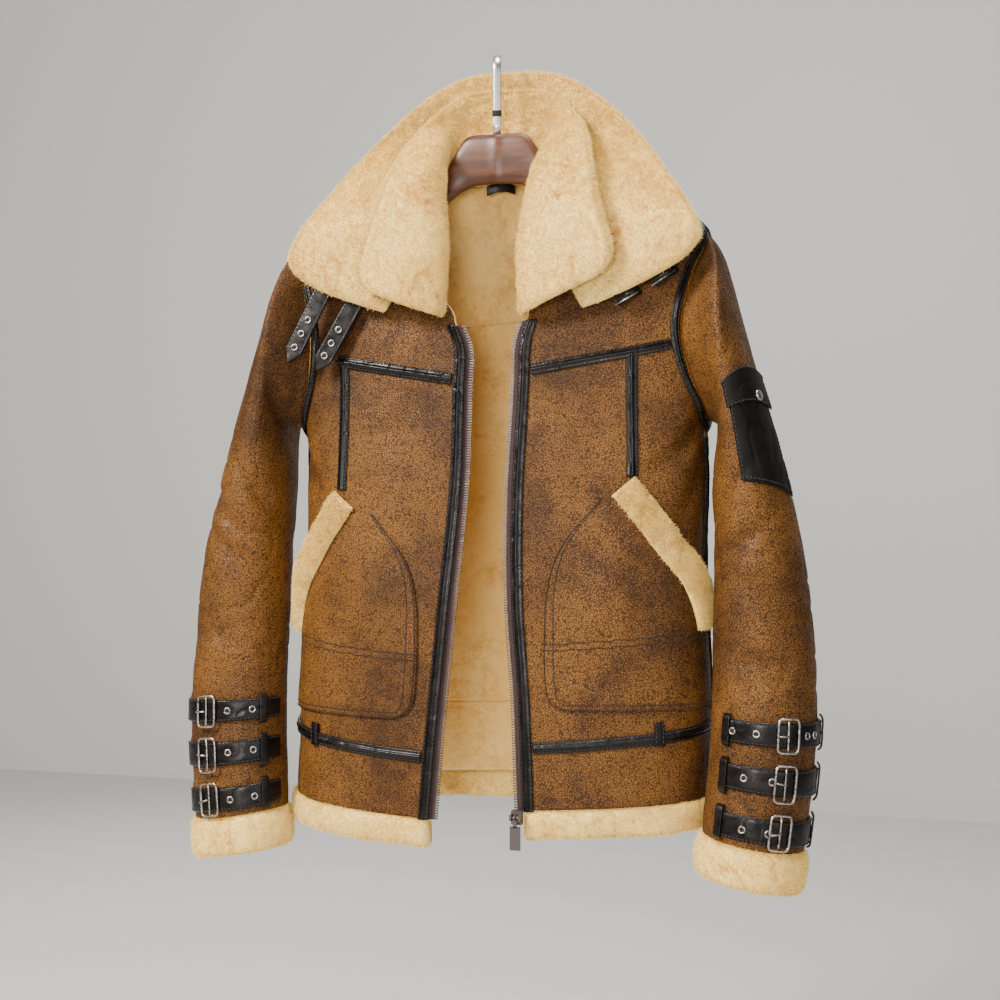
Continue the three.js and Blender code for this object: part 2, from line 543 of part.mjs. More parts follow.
// Slant pockets: a leather patch with a curved front edge and a fur welt over its opening
const WELT = [
  [0, 41, -472], [0.2, 48, -502], [0.4, 57, -535], [0.6, 69, -566], [0.8, 76, -593], [1, 79, -616],
];
const WELT_TURN = { left: 0, right: -3 }; // degrees that its top lies nearer the zip
const WELT_ACROSS = [-1, -0.8, -0.35, 0.35, 0.8, 1];
const POCKET = table("z x outer", [
  [-487, 122, 45.5], [-503, 108, 47.2], [-527, 88, 51.5], [-553, 75, 63], [-587, 68, 75],
  [-610, 67, 81], [-650, 67, 86], [-682, 70, 86], [-694, 78, 86], [-700, 94, 86],
]);
const POCKET_ROWS = [0, 0.06, 0.13, 0.22, 0.34, 0.48, 0.62, 0.78, 0.9, 0.96, 1];
const PATCH = { top: -487, low: -700, lift: 2.1, thick: 1.4 };
for (const [name, side] of SIDES) {
  const path = pathOf(WELT.map(([u, t, z]) => [u, t + WELT_TURN[name] * (1 - u), z]));
  const roll = (u, v) => 16 - 7 * v ** 4 - 4 * u ** 2;
  add("pocket_welt_" + name, plate(ribbon(side, path, 15), stops(12), WELT_ACROSS, 4.1, roll), "wool");
  const patch = (u, v) => {
    const z = lerp(PATCH.top, PATCH.low, v);
    return body(side, lerp(frontAngle(along(POCKET, "x", z), z), along(POCKET, "outer", z), u), z);
  };
  const top = PATCH.lift + PATCH.thick;
  add("pocket_patch_" + name, plate(patch, stops(8), POCKET_ROWS, PATCH.lift, top), "bronze");
}

// What lies on the sleeves: the patch pocket, and three buckled straps at each cuff
const onSleeve = (side) => (p, u, v) => p.clone().sub(sleeveCentre(side, p.z > -440 ? 3 : 9)).setZ(0);
const pocketAt = (grow, top, low) => (u, v) => {
  const phi = lerp(88 + grow, 10 - grow, u);
  return sleeve(1, phi, lerp(lerp(2.15, 2.95, u), lerp(4.55, 5.05, u), lerp(top, low, v)));
};
add("sleeve_pocket", plate(pocketAt(0, 0.1, 1), stops(9), stops(7), 1.6, 3.2, onSleeve(1)), "black");
add("sleeve_pocket_flap", plate(pocketAt(4, 0, 0.3), stops(9), stops(3), 3.6, 5.4, onSleeve(1)), "black");
const STRAP = { half: 12.5, lift: 1.4, thick: 2.2, keeperHalf: 18, keeperThick: 5.4 };
const CUFF_STRAPS = [8.33, 9.02, 9.67];
// The straps' stops round the sleeve; a keeper is where two stops lie 0.2 apart.
const STRAP_STOPS = {
  left: [-96, -72, -49, -28, -8.2, -8, -1, -0.8, 21, 43, 64, 84, 103, 120, 135.8, 136, 143.5, 143.7, 164],
  right: [-112, -94, -76, -58, -40, -23, -8.2, -8, -1, -0.8, 16, 33, 50, 67, 84, 101, 119.8, 120, 127.5],
};
const KEEPER = { left: [136, 143.5], right: [120, 127.5] };
function cuffStrap(name, side, s) {
  const isKeeper = (phi) => [KEEPER[name], [-8, -1]].some(([a, b]) => phi > a - 0.1 && phi < b + 0.1);
  const half = (phi) => (isKeeper(phi) ? STRAP.keeperHalf : STRAP.half);
  const top = (phi) => (isKeeper(phi) ? STRAP.keeperThick : STRAP.lift + STRAP.thick);
  const at = (phi, v) => sleeve(side, phi, s - half(phi) / SLEEVE_STEP * v);
  const away = (p) => p.clone().sub(sleeveCentre(side, s)).setZ(0);
  return plate(at, STRAP_STOPS[name], [-1, 1], STRAP.lift, top, away);
}
function buckle(side, s) {
  const half = { phi: 11, s: 17.5 / SLEEVE_STEP }, middle = side > 0 ? 58 : 74;
  const corners = [[-1, -1], [-1, 0], [-1, 1], [0, 1], [1, 1], [1, 0], [1, -1], [0, -1]];
  const centres = corners.map(([a, b]) => {
    const at = (u, v) => sleeve(side, u, v), phi = middle + a * half.phi, v = s + b * half.s;
    const p = at(phi, v), n = normalAt(at, phi, v, p.clone().sub(sleeveCentre(side, v)).setZ(0));
    return { p: p.addScaledVector(n, 5.5), n };
  });
  return loft(centres.map(({ p, n }, i) => {
    const before = centres[(i + 7) % 8].p, after = centres[(i + 1) % 8].p;
    const across = after.clone().sub(before).normalize().cross(n).normalize();
    return stops(6, 0, 360).slice(0, 6).map((a) => p.clone()
      .addScaledVector(across, 1.6 * Math.cos(a * rad)).addScaledVector(n, 1.6 * Math.sin(a * rad)));
  }), true);
}
for (const [name, side] of SIDES)
  CUFF_STRAPS.forEach((s, i) => {
    add("cuff_strap_" + name + "_" + (i + 1), cuffStrap(name, side, s), "black");
    add("cuff_buckle_" + name + "_" + (i + 1), buckle(side, s), "steel");
  });

// Two pointed straps hang from under the collar on one side, their buckle tabs show on the other
const COLLAR_STRAPS = [
  { from: V(-173, -50.4, -238), to: V(-216, -66, -332), width: 20 },
  { from: V(-137, -52.2, -255), to: V(-184, -62, -341), width: 20 },
];
COLLAR_STRAPS.forEach(({ from, to, width }, i) => {
  const down = to.clone().sub(from), across = V(-down.z, 0, down.x).normalize().multiplyScalar(-width / 2);
  const face = down.clone().cross(across).normalize().multiplyScalar(2.6);
  const shape = [[0, -1], [0.45, -1], [0.88, -1], [1, -0.35], [1, 0.35], [0.9, 1], [0.45, 1], [0, 1]];
  const corner = (a, b, k) => from.clone()
    .addScaledVector(down, a).addScaledVector(across, b).addScaledVector(face, k);
  const side = (k) => shape.map(([a, b]) => corner(a, b, k));
  add("collar_strap_" + (i + 1), loft([side(0), side(1)]), "black");
});

// The hanger, its hook and the coat's hanging loop
const HANGER = table("x top low depth y", [
  [0, -86, -139, 15, 0],
  [26, -86, -141, 15, 0],
  [36, -90, -145, 15, 0],
  [47, -106, -152, 16, 0],
  [58, -127, -161, 16, 0],
  [70, -144, -169, 16, 0],
  [85, -153, -176, 17, -1],
  [125, -171, -190, 20, -2],
  [180, -193, -208, 20, -2],
  [206, -204, -215, 12, -1],
]);
const hangerStops = HANGER.map((row) => row.x).filter((x) => x > 0);
add("hanger", loft([...hangerStops.map((x) => -x).reverse(), ...hangerStops].map((x) => {
  const get = (column) => along(HANGER, column, Math.abs(x));
  return roundedSquare(get("depth"), get("top") - get("low"), 10)
    .map(([a, b]) => V(x, get("y") + a, (get("top") + get("low")) / 2 + b));
})), "wood");
const turned = (x, y, z) => V(x, y, z).applyAxisAngle(V(0, 0, 1), HOOK.turn * rad);
const hookPath = [[0, -85.6], [0, -60], [0, -36], ...stops(11, 180, -38).map((a) => [
  HOOK.radius * (1 + Math.cos(a * rad)), -15.5 + HOOK.radius * Math.sin(a * rad)])];
add("hook", loft(hookPath.map(([y, z], i) => {
  const a = hookPath[Math.max(0, i - 1)], b = hookPath[Math.min(hookPath.length - 1, i + 1)];
  const l = Math.hypot(b[0] - a[0], b[1] - a[1]), ny = -(b[1] - a[1]) / l, nz = (b[0] - a[0]) / l;
  return [[-1, -1], [1, -1], [1, 1], [-1, 1]].map(([w, t]) =>
    turned(w * HOOK.width / 2, y + ny * t * HOOK.thick / 2, z + nz * t * HOOK.thick / 2));
})), "steel");
add("hang_loop", loft(stops(4, -16, 16).map((x) => [[0, 0], [2, 0], [2, 10], [0, 10]]
  .map(([y, z]) => V(x, 18.3 + y - x * x / 90, -145 + z - x * x / 60)))), "black");

// The zip's slider and its pull tab
const SLIDER = V(51.2, -104.9, -800);
const PULL = { width: 11, long: 33, thick: 1.8, eye: 3.4, hole: 1.8, pin: 1.3 };
const block = (w, d, h, x, y, z) => new THREE.BoxGeometry(w, d, h).translate(x, y, z);
add("zip_slider", joined(
  block(11, 7, 14, SLIDER.x, SLIDER.y, SLIDER.z),
  block(2, 8, 6, SLIDER.x - 4.4, SLIDER.y - 6.5, SLIDER.z + 1),
  block(2, 8, 6, SLIDER.x + 4.4, SLIDER.y - 6.5, SLIDER.z + 1),
  new THREE.CylinderGeometry(PULL.pin, PULL.pin, 9, 12).rotateZ(90 * rad)
    .translate(SLIDER.x, SLIDER.y - 7.6, SLIDER.z + 1),
), "steel");
const eye = new THREE.Shape().absarc(0, 0, PULL.eye, 0, 2 * Math.PI);
eye.holes.push(new THREE.Path().absarc(0, 0, PULL.hole, 0, 2 * Math.PI));
const ring = new THREE.ExtrudeGeometry(eye, { depth: 5.4, bevelEnabled: false, curveSegments: 12 })
  .translate(0, 0, -2.7).rotateY(90 * rad);
add("zip_pull", geometryOf(solid(joined(
  ring,
  block(4, PULL.thick, 8, 0, 0, -6.2),
  block(PULL.width, PULL.thick, PULL.long - 9, 0, 0, -9 - (PULL.long - 9) / 2),
)).translate([SLIDER.x, SLIDER.y - 7.6, SLIDER.z + 1])), "steel");

export default root;
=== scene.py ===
"""A shearling coat hung open on a contoured wooden hanger.

Sizes are in millimetres from the hanger's middle until a mesh is made, which is in metres in the row's frame.
"""

import math

import bpy
import numpy as np
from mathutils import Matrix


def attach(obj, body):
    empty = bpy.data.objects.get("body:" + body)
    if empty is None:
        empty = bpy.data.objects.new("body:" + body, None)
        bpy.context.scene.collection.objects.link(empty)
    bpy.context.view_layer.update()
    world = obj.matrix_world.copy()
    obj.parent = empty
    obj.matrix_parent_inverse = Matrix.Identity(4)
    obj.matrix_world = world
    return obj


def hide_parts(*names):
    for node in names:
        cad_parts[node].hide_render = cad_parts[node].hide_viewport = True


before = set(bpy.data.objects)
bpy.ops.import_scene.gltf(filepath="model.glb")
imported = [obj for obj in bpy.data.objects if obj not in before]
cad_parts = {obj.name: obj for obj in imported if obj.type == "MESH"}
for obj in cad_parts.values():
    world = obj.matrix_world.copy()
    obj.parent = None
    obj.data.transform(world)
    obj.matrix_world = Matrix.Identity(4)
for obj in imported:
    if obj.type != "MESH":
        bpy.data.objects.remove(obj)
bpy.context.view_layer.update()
BODY_NAME, PULL_NAME = "jacket", "pull"

# The camera stands a little to the right of the opening, level with the chest.
# Four soft lamps stand in front of it and above it, and one behind.
# The hook is turned as the camera is, and the frame's origin is inside its bend.
TURN = math.radians(16)
HOOK_RADIUS = 17
ORIGIN = np.array([HOOK_RADIUS * math.sin(TURN), -HOOK_RADIUS * math.cos(TURN), 0])
CAMERA_AWAY, CAMERA_HEIGHT, SENSOR, FRAME_WIDTH = 1900, -437.4, 36, 1080
camera_data = bpy.data.cameras.new("camera")
camera_data.lens = SENSOR * CAMERA_AWAY / FRAME_WIDTH
camera_data.shift_x, camera_data.shift_y = 0.003, -0.04
camera = bpy.data.objects.new("camera", camera_data)
bpy.context.scene.collection.objects.link(camera)
away = np.array([CAMERA_AWAY * math.sin(TURN), -CAMERA_AWAY * math.cos(TURN), CAMERA_HEIGHT])
camera.location = (ORIGIN + away) / 1000
camera.rotation_euler = (math.pi / 2, 0, TURN)
bpy.context.scene.camera = camera
LAMP_AIM = (0, 0, -0.45)


def lamp(name, place, size, watts, tint=(1, 1, 1)):
    data = bpy.data.lights.new(name, "AREA")
    data.shape, data.size, data.energy, data.color = "DISK", size, watts, tint
    o = bpy.data.objects.new(name, data)
    o.location = place
    aim = np.array(LAMP_AIM) - np.array(place)
    o.rotation_euler = (
        math.atan2(math.hypot(aim[0], aim[1]), -aim[2]), 0, math.atan2(aim[1], aim[0]) - math.pi / 2)
    bpy.context.scene.collection.objects.link(o)


lamp("key", (-1.5, -2.0, 1.25), 1.0, 184, (1, 0.95, 0.88))
lamp("fill", (1.9, -1.9, -0.1), 1.6, 17)
lamp("front", (0.25, -2.3, -0.2), 0.7, 30, (1, 0.96, 0.9))
lamp("top", (0.2, -0.1, 1.8), 1.1, 58)
lamp("back", (-1.2, 2.0, 0.4), 1.2, 22)
world = bpy.data.worlds.new("world")
world.use_nodes = True
world.node_tree.nodes["Background"].inputs[0].default_value = (0.85, 0.88, 0.92, 1)
world.node_tree.nodes["Background"].inputs[1].default_value = 0.24
bpy.context.scene.world = world


# The floor is matt and pale, and a wall like it stands behind. Both are for looking at the coat only.
# A Paint is a material, and a Value is a shader socket that sums can be written with.
class Value:
    def __init__(self, paint, socket):
        self.paint, self.socket = paint, socket

    def _sum(self, operation, *terms):
        return self.paint.node("ShaderNodeMath", {"operation": operation}, *terms)

    def __add__(self, other):
        return self._sum("ADD", self, other)

    def __sub__(self, other):
        return self._sum("SUBTRACT", self, other)

    def __mul__(self, other):
        return self._sum("MULTIPLY", self, other)

    def __rsub__(self, other):
        return self._sum("SUBTRACT", other, self)

    __radd__, __rmul__ = __add__, __mul__


class Paint:
    """A material round one Principled shader, whose constants are set by name."""

    def __init__(self, name, **constants):
        self.material = bpy.data.materials.new(name)
        self.material.use_nodes = True
        self.tree = self.material.node_tree
        self.shader = self.tree.nodes["Principled BSDF"]
        for key, value in constants.items():
            self.shader.inputs[key.replace("_", " ").title().replace("Ior", "IOR")].default_value = value
        self.place = self.node("ShaderNodeTexCoord", out=3)

    def node(self, kind, settings=None, *inputs, out=0, **named):
        made = self.tree.nodes.new(kind)
        for key, value in (settings or {}).items():
            setattr(made, key, value)
        for key, value in list(enumerate(inputs)) + list(named.items()):
            socket = made.inputs[key if isinstance(key, int) else key.replace("_", " ")]
            if isinstance(value, Value):
                self.tree.links.new(value.socket, socket)
            else:
                socket.default_value = value
        return Value(self, made.outputs[out])

    def noise(self, size, detail=2.0, rough=0.5, distort=0.0, place=None):
        return self.node(
            "ShaderNodeTexNoise", None, place or self.place,
            Scale=1000 / size, Detail=detail, Roughness=rough, Distortion=distort)

    def ramp(self, value, low, high, to_low=0.0, to_high=1.0):
        return self.node(
            "ShaderNodeMapRange", {"interpolation_type": "SMOOTHSTEP"}, value, low, high, to_low, to_high)

    def mix(self, share, a, b):
        made = self.tree.nodes.new("ShaderNodeMix")
        made.data_type = "RGBA"
        for socket, value in ((made.inputs[0], share), (made.inputs[6], a), (made.inputs[7], b)):
            if isinstance(value, Value):
                self.tree.links.new(value.socket, socket)
            else:
                socket.default_value = value if isinstance(value, (int, float)) else (*value, 1)
        return Value(self, made.outputs[2])

    def attribute(self, name):
        return self.node("ShaderNodeAttribute", {"attribute_name": name}, out=2)

    def set(self, **sockets):
        for key, value in sockets.items():
            self.tree.links.new(value.socket, self.shader.inputs[key.replace("_", " ")])

    def bump(self, height, depth, strength=1.0):
        self.set(Normal=self.node("ShaderNodeBump", None, strength, depth / 1000, Height=height))


backdrop = Paint("backdrop", base_color=(0.58, 0.57, 0.55, 1), roughness=0.95)
for name, place, tilt in (("floor", (0, 0, -1.32), 0), ("wall", (0, 2.6, 0), math.pi / 2)):
    bpy.ops.mesh.primitive_plane_add(size=14, location=place, rotation=(tilt, 0, 0))
    bpy.context.object.name = name
    bpy.context.object.data.materials.append(backdrop.material)

# The body hangs from the shoulders as a stack of rounded rings, neck to hem, with its fronts apart.
# It is cut from sheepskin: hide outside and sheared wool inside.
class Table:
    """Rows of measures, a named column for each, smooth between the rows."""

    def __init__(self, names, rows):
        values = np.array(rows, float)
        if values[0, 0] > values[-1, 0]:
            values = values[::-1]
        self.at, self.n = values[:, 0], len(values)
        steps, spans = np.diff(values, axis=0), np.diff(self.at)[:, None]
        middle = (steps[1:] + steps[:-1]) / (spans[1:] + spans[:-1])
        slopes = np.vstack([steps[0] / spans[0], middle, steps[-1] / spans[-1]])
        self.columns = {k: (values[:, i], slopes[:, i]) for i, k in enumerate(names.split())}

    def __call__(self, column, at):
        at = np.clip(at, self.at[0], self.at[-1])
        i = np.clip(np.searchsorted(self.at, at, side="right") - 1, 0, self.n - 2)
        v, m = self.columns[column]
        span = self.at[i + 1] - self.at[i]
        t = (at - self.at[i]) / span
        h = t * t * (3 - 2 * t)
        return (v[i] * (1 - h) + v[i + 1] * h
                + span * (m[i] * (t - 2 * t * t + t ** 3) + m[i + 1] * (t ** 3 - t * t)))


def smooth(a, b, x):
    t = np.clip((np.asarray(x, float) - a) / (b - a), 0, 1)
    return t * t * (3 - 2 * t)


def mixed(a, b, t):
    return a + (b - a) * t


def points(x, y, z):
    return np.stack(np.broadcast_arrays(x, y, z), -1).astype(float)


def unit(v):
    return v / np.maximum(np.linalg.norm(v, axis=-1, keepdims=True), 1e-9)


def bell(x, width):
    return np.exp(-((x / width) ** 2))


SIDES = (("left", -1), ("right", 1))


SWAY, TILT, EDGE_DROP, HIDE = 6, 5, 6, 8
BODY = Table("z half front back square", [
    [-128, 68, 24, 34, 2.0], [-136, 80, 27, 38, 2.1], [-150, 112, 30, 42, 2.2], [-168, 156, 33, 47, 2.4],
    [-195, 222, 37, 55, 2.7], [-240, 228, 42, 68, 3.0], [-300, 228, 50, 80, 3.0], [-350, 225, 56, 90, 2.8],
    [-400, 222, 63, 97, 2.7], [-480, 220, 74, 103, 2.6], [-560, 220, 83, 106, 2.6], [-640, 223, 90, 108, 2.5],
    [-745, 228, 97, 108, 2.5], [-845, 231, 101, 108, 2.5]])
OPENING = Table("z left right", [
    [-288, 28, 40], [-318, 17, 31], [-357, 18, 29], [-470, 20, 25], [-590, 29, 28], [-690, 37, 37],
    [-800, 45, 43], [-845, 49, 46]])
NECKLINE = Table("z x", [[-128, 76], [-150, 86], [-175, 88], [-215, 80], [-255, 64], [-288, 46]])
ARMHOLE = Table("z front back", [
    [-195, 90, 90], [-203, 79, 101], [-217, 70, 109], [-250, 59, 117], [-300, 54, 122], [-345, 59, 118],
    [-377, 69, 110], [-392, 79, 101], [-400, 90, 90]])
ARMHOLE_TOP, ARMHOLE_LOW, ZIP_TOP = -195, -400, -288
BODY_FOLDS = [  # side t z lean length width depth
    [1, 62, -430, 35, 60, 14, -5], [1, 70, -475, 50, 70, 16, -4], [-1, 66, -445, 40, 65, 16, -5],
    [-1, 30, -560, 80, 150, 40, 3], [1, 32, -600, 80, 140, 40, 3], [1, 150, -470, 20, 80, 22, -5],
    [-1, 145, -430, 30, 80, 20, -5], [1, 165, -620, 70, 110, 26, -4], [-1, 168, -560, 75, 130, 30, -4]]


def folds(rows, side, t, z, step):
    total = 0
    for which, t0, z0, lean, length, width, depth in rows:
        a, b = (t - t0) * step, z - z0
        c, s = math.cos(math.radians(lean)), math.sin(math.radians(lean))
        total = total + (side == which) * depth * np.exp(
            -(((a * c + b * s) / length) ** 2) - ((b * c - a * s) / width) ** 2)
    return total


def body(side, t, z):
    """A point on the outside of the body: t is degrees round the ring from the middle of the front."""
    side, t, z = np.broadcast_arrays(*(np.asarray(x, float) for x in (side, t, z)))
    c, s = np.cos(np.radians(t)), np.sin(np.radians(t))
    n = BODY("square", z)
    q = (np.abs(s) ** n + np.abs(c) ** n) ** (-1 / n)
    hangs = 1 - smooth(-450, -200, z)
    fold = folds(BODY_FOLDS, side, t, z, 2.6) * smooth(12, 24, t)
    x = side * BODY("half", z) * s * q
    y = -c * q * np.where(c > 0, BODY("front", z), BODY("back", z))
    drop = (TILT * s + EDGE_DROP * np.maximum(0, c)) * side * hangs
    return points(x + SWAY * hangs + side * s * fold, y - c * fold, z + drop)


def front_angle(x, z):
    n = BODY("square", z)
    share = np.minimum(0.9999, x / BODY("half", z))
    return np.degrees(np.arctan((share ** n / (1 - share ** n)) ** (1 / n)))


def edge_angle(side, z, inset):
    gap = OPENING("right" if side > 0 else "left", np.minimum(z, ZIP_TOP)) + inset
    return front_angle(mixed(gap, NECKLINE("x", z), smooth(ZIP_TOP, ZIP_TOP + 40, z)), z)


def side_angle(z, edge):
    return np.where((z > ARMHOLE_TOP) | (z < ARMHOLE_LOW), 90, ARMHOLE(edge, z))


def noise(p, size, seed=0):
    """Smooth random value from -1 to 1 at points p, with bumps about that size."""
    q = np.asarray(p, float) / size + seed * 7.31
    i = np.floor(q).astype(np.int64)
    f = q - i
    f = f * f * (3 - 2 * f)
    total = 0
    for corner in range(8):
        d = np.array([corner & 1, corner >> 1 & 1, corner >> 2 & 1])
        n = (i + d) @ np.array([73856093, 19349663, 83492791]) + seed * 2654435761
        n = (n ^ (n >> 13)) * 1274126177 & 0xFFFFFFFF
        value = ((n ^ (n >> 16)) & 0xFFFF) / 32767.5 - 1
        total = total + value * np.prod(np.where(d, f, 1 - f), -1)
    return total


def wrinkle(p):
    """The hide's own unevenness: broad soft dents and a few fine creases."""
    fine = np.abs(noise(p * np.array([1, 1, 0.6]), 16, 32))
    return 0.9 * noise(p, 55, 31) - 0.5 * bell(fine, 0.09) + 0.35 * noise(p, 22, 33)


# The fronts, yokes and bands: six panels of hide, sewn edge to edge under the strips.
# The hide is waxed and crackled, and rubbed lighter in large soft patches. Its wool is sheared short.
leather = Paint("distressed_leather", roughness=0.55, specular_ior_level=0.22)
warp = leather.node("ShaderNodeVectorMath", {"operation": "SCALE"}, leather.noise(5, 2), Scale=0.0016)
warped = leather.node("ShaderNodeVectorMath", {"operation": "ADD"}, leather.place, warp)
patches = leather.ramp(leather.noise(150, 3, 0.6, 0.5), 0.34, 0.66)
rubbed = leather.ramp(leather.noise(22, 3, 0.6), 0.3, 0.7)
cell = leather.node("ShaderNodeTexVoronoi", {"feature": "DISTANCE_TO_EDGE"}, warped, Scale=1000 / 2.4)
width = leather.ramp(patches * 0.6 + rubbed * 0.4, 0.1, 0.9, 1.15, 1.6)
crackle = leather.ramp(cell * width, 0.06, 0.3, 1, 0)
speckle = leather.ramp(leather.noise(2.2, 1, 0.5, 0.5), 0.44, 0.6)
dark = leather.ramp(crackle * 0.85 + speckle * 0.25, 0.1, 1)
tone = leather.mix(patches, (0.08, 0.0275, 0.0032), (0.198, 0.078, 0.0108))
tone = leather.mix(rubbed * 0.3, tone, (0.265, 0.107, 0.0152))
tone = leather.mix(dark * 0.84, tone, (0.012, 0.0046, 0.001))
leather.set(Base_Color=tone, Roughness=leather.ramp(dark + patches * 0.3, 0, 1, 0.42, 0.7))
leather.bump(1 - dark * 0.8 + leather.noise(14, 3) * 0.4, 0.4, 0.5)


def wool_paint(name, tip, root_shade):
    paint = Paint(name, roughness=0.92, specular_ior_level=0.06)
    # The root colour is painted shade. It is mixed in where the depth attribute is low, in the partings and
    # at the fibres' feet.
    deep = paint.ramp(paint.attribute("depth") + (paint.noise(4, 3) - 0.5) * 0.6, -0.1, 0.62)
    warmer = tuple(c * k for c, k in zip(tip, (0.97, 0.92, 0.82)))
    tint = paint.mix(paint.ramp(paint.noise(70, 2), 0.35, 0.65), tip, warmer)
    paint.set(Base_Color=paint.mix(deep, root_shade, tint))
    paint.bump(paint.noise(2.6, 3, 0.7) + paint.noise(9, 2) * 1.2, 1.6, 0.9)
    return paint


lining_wool = wool_paint("lining_wool", (0.95, 0.68, 0.25), (0.7, 0.38, 0.09))


def tufts(p, seed, size=8.0):
    """How high the wool stands at points p, from about -1 in a parting to 1 on a tuft."""
    high = 0.34 * noise(p, size, seed) + 0.26 * noise(p, size * 0.45, seed + 1)
    high = high + 0.5 * noise(p, size * 3.4, seed + 2)
    return high - 0.45 * bell(noise(p * np.array([1, 1, 0.55]), 34, seed + 3), 0.06)


def grid(u0, u1, nu, v0, v1, nv):
    return np.meshgrid(np.linspace(u0, u1, nu), np.linspace(v0, v1, nv))


def normals(p, wrap=False):
    """Unit normals of a grid of points, along rows by columns."""
    du = np.roll(p, -1, 1) - np.roll(p, 1, 1) if wrap else np.gradient(p, axis=1)
    return unit(np.cross(du, np.gradient(p, axis=0)))


def mesh(name, vertices, faces, paints, body=BODY_NAME, index=None, flat=False, depth=None):
    """A piece from corners in millimetres. faces is a list of arrays, each with 3 or 4 columns."""
    data = bpy.data.meshes.new(name)
    arrays = [np.asarray(f) for f in faces if len(f)]
    loops = np.concatenate([f.ravel() for f in arrays]).astype(np.int32)
    sizes = np.concatenate([np.full(len(f), f.shape[1]) for f in arrays]).astype(np.int32)
    data.vertices.add(len(vertices))
    data.vertices.foreach_set("co", ((vertices + ORIGIN) / 1000).astype(np.float32).ravel())
    data.loops.add(len(loops))
    data.loops.foreach_set("vertex_index", loops)
    data.polygons.add(len(sizes))
    data.polygons.foreach_set("loop_start", (np.cumsum(sizes) - sizes).astype(np.int32))
    for paint in paints if isinstance(paints, tuple) else [paints]:
        data.materials.append(paint.material)
    data.update(calc_edges=True)
    if index is not None:
        data.polygons.foreach_set("material_index", np.asarray(index, np.int32))
    data.polygons.foreach_set("use_smooth", np.full(len(sizes), not flat))
    # The depth attribute sets the wool's painted shade: low in partings and at fibre feet, high on tufts and
    # tips.
    if depth is not None:
        values = data.attributes.new("depth", "FLOAT", "POINT").data
        values.foreach_set("value", np.asarray(depth, np.float32))
    data.validate()
    o = bpy.data.objects.new(name + "_made", data)
    bpy.context.scene.collection.objects.link(o)
    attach(o, body)
    return o


def around(count):
    return np.linspace(0, 2 * np.pi, count + 1)[:-1]


def quads(nu, nv, wrap=False, start=0):
    i, j = np.meshgrid(np.arange(nu if wrap else nu - 1), np.arange(nv - 1))
    a, b = start + j * nu + i, start + j * nu + (i + 1) % nu
    return np.stack([a, b, b + nu, a + nu], -1).reshape(-1, 4)


def wall(outer, inner, wrap=False):
    """The corners of a closed wall between two grids, and its faces: outer, inner and along the cut edge."""
    nv, nu = outer.shape[:2]
    count = nu * nv
    i = np.arange(nu if wrap else nu - 1)
    lines = [(row * nu + i, row * nu + (i + 1) % nu, turn) for row, turn in ((0, 1), (nv - 1, -1))]
    if not wrap:
        j = np.arange(nv - 1) * nu
        lines += [(j + column, j + nu + column, turn) for column, turn in ((0, -1), (nu - 1, 1))]
    rim = [np.stack([a, a + count, b + count, b], -1)[:, ::turn] for a, b, turn in lines]
    vertices = np.concatenate([outer.reshape(-1, 3), inner.reshape(-1, 3)])
    return vertices, quads(nu, nv, wrap), quads(nu, nv, wrap, count)[:, ::-1], np.concatenate(rim)


def volume(vertices, *faces):
    """Six times the volume inside the faces, below zero where they point inwards."""
    total = 0
    for f in faces:
        for k in range(1, f.shape[1] - 1):
            total += np.sum(np.cross(vertices[f[:, 0]], vertices[f[:, k]]) * vertices[f[:, k + 1]])
    return total


def shell(name, outer, inner, paints, wrap=False, depth=None, rim=0):
    """A wall as a piece. paints is (outside, inside) or one paint, and rim says which the cut edge takes."""
    vertices, *faces = wall(outer, inner, wrap)
    index = None
    if isinstance(paints, tuple):
        index = np.repeat([0, 1, rim], [len(f) for f in faces])
    faces = np.concatenate(faces)
    if volume(vertices, faces) < 0:
        faces = faces[:, ::-1]
    values = None if depth is None else np.concatenate([depth[0].ravel(), depth[1].ravel()])
    return mesh(name, vertices, [faces], paints, index=index, depth=values)


def skin(p):
    """The finished surface of the hide at points p of the body, and its normals."""
    n = normals(p)
    inwards = np.sum(n * (p - points(SWAY, 0, p[..., 2])), -1, keepdims=True) < 0
    n = n * np.where(inwards, -1, 1)
    return p + n * wrinkle(p)[..., None], n


def panel(name, p, seed, fur=0):
    """A panel of hide: the leather outside and its sheared wool inside, calm along the cut edges."""
    outer, n = skin(p)
    edge = np.ones(p.shape[:2])
    edge[[0, -1]], edge[:, [0, -1]] = 0, 0
    high = tufts(p, seed + 9)
    inner = p - n * (HIDE + 1.1 * high * edge)[..., None]
    # The wool's depth values follow its tufts, so its painted shade deepens in the partings.
    o = shell(name, outer, inner, (leather, lining_wool), depth=(np.ones_like(high), 0.5 + 0.5 * high), rim=1)
    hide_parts(name)
    if fur:
        fibres(name + "_nap", inner, -n, fur, NAP, seed + 20, lining_wool)


def between_seams(top, low):
    """The heights of a panel's two edges, each drawn back by half of the seam's gap."""
    top = [z if z == NECK else z - HALF_SEAM for z in top]
    return top, [z if z in (HEM_EDGE, HEM_SIDE, HEM_BACK) else z + HALF_SEAM for z in low]


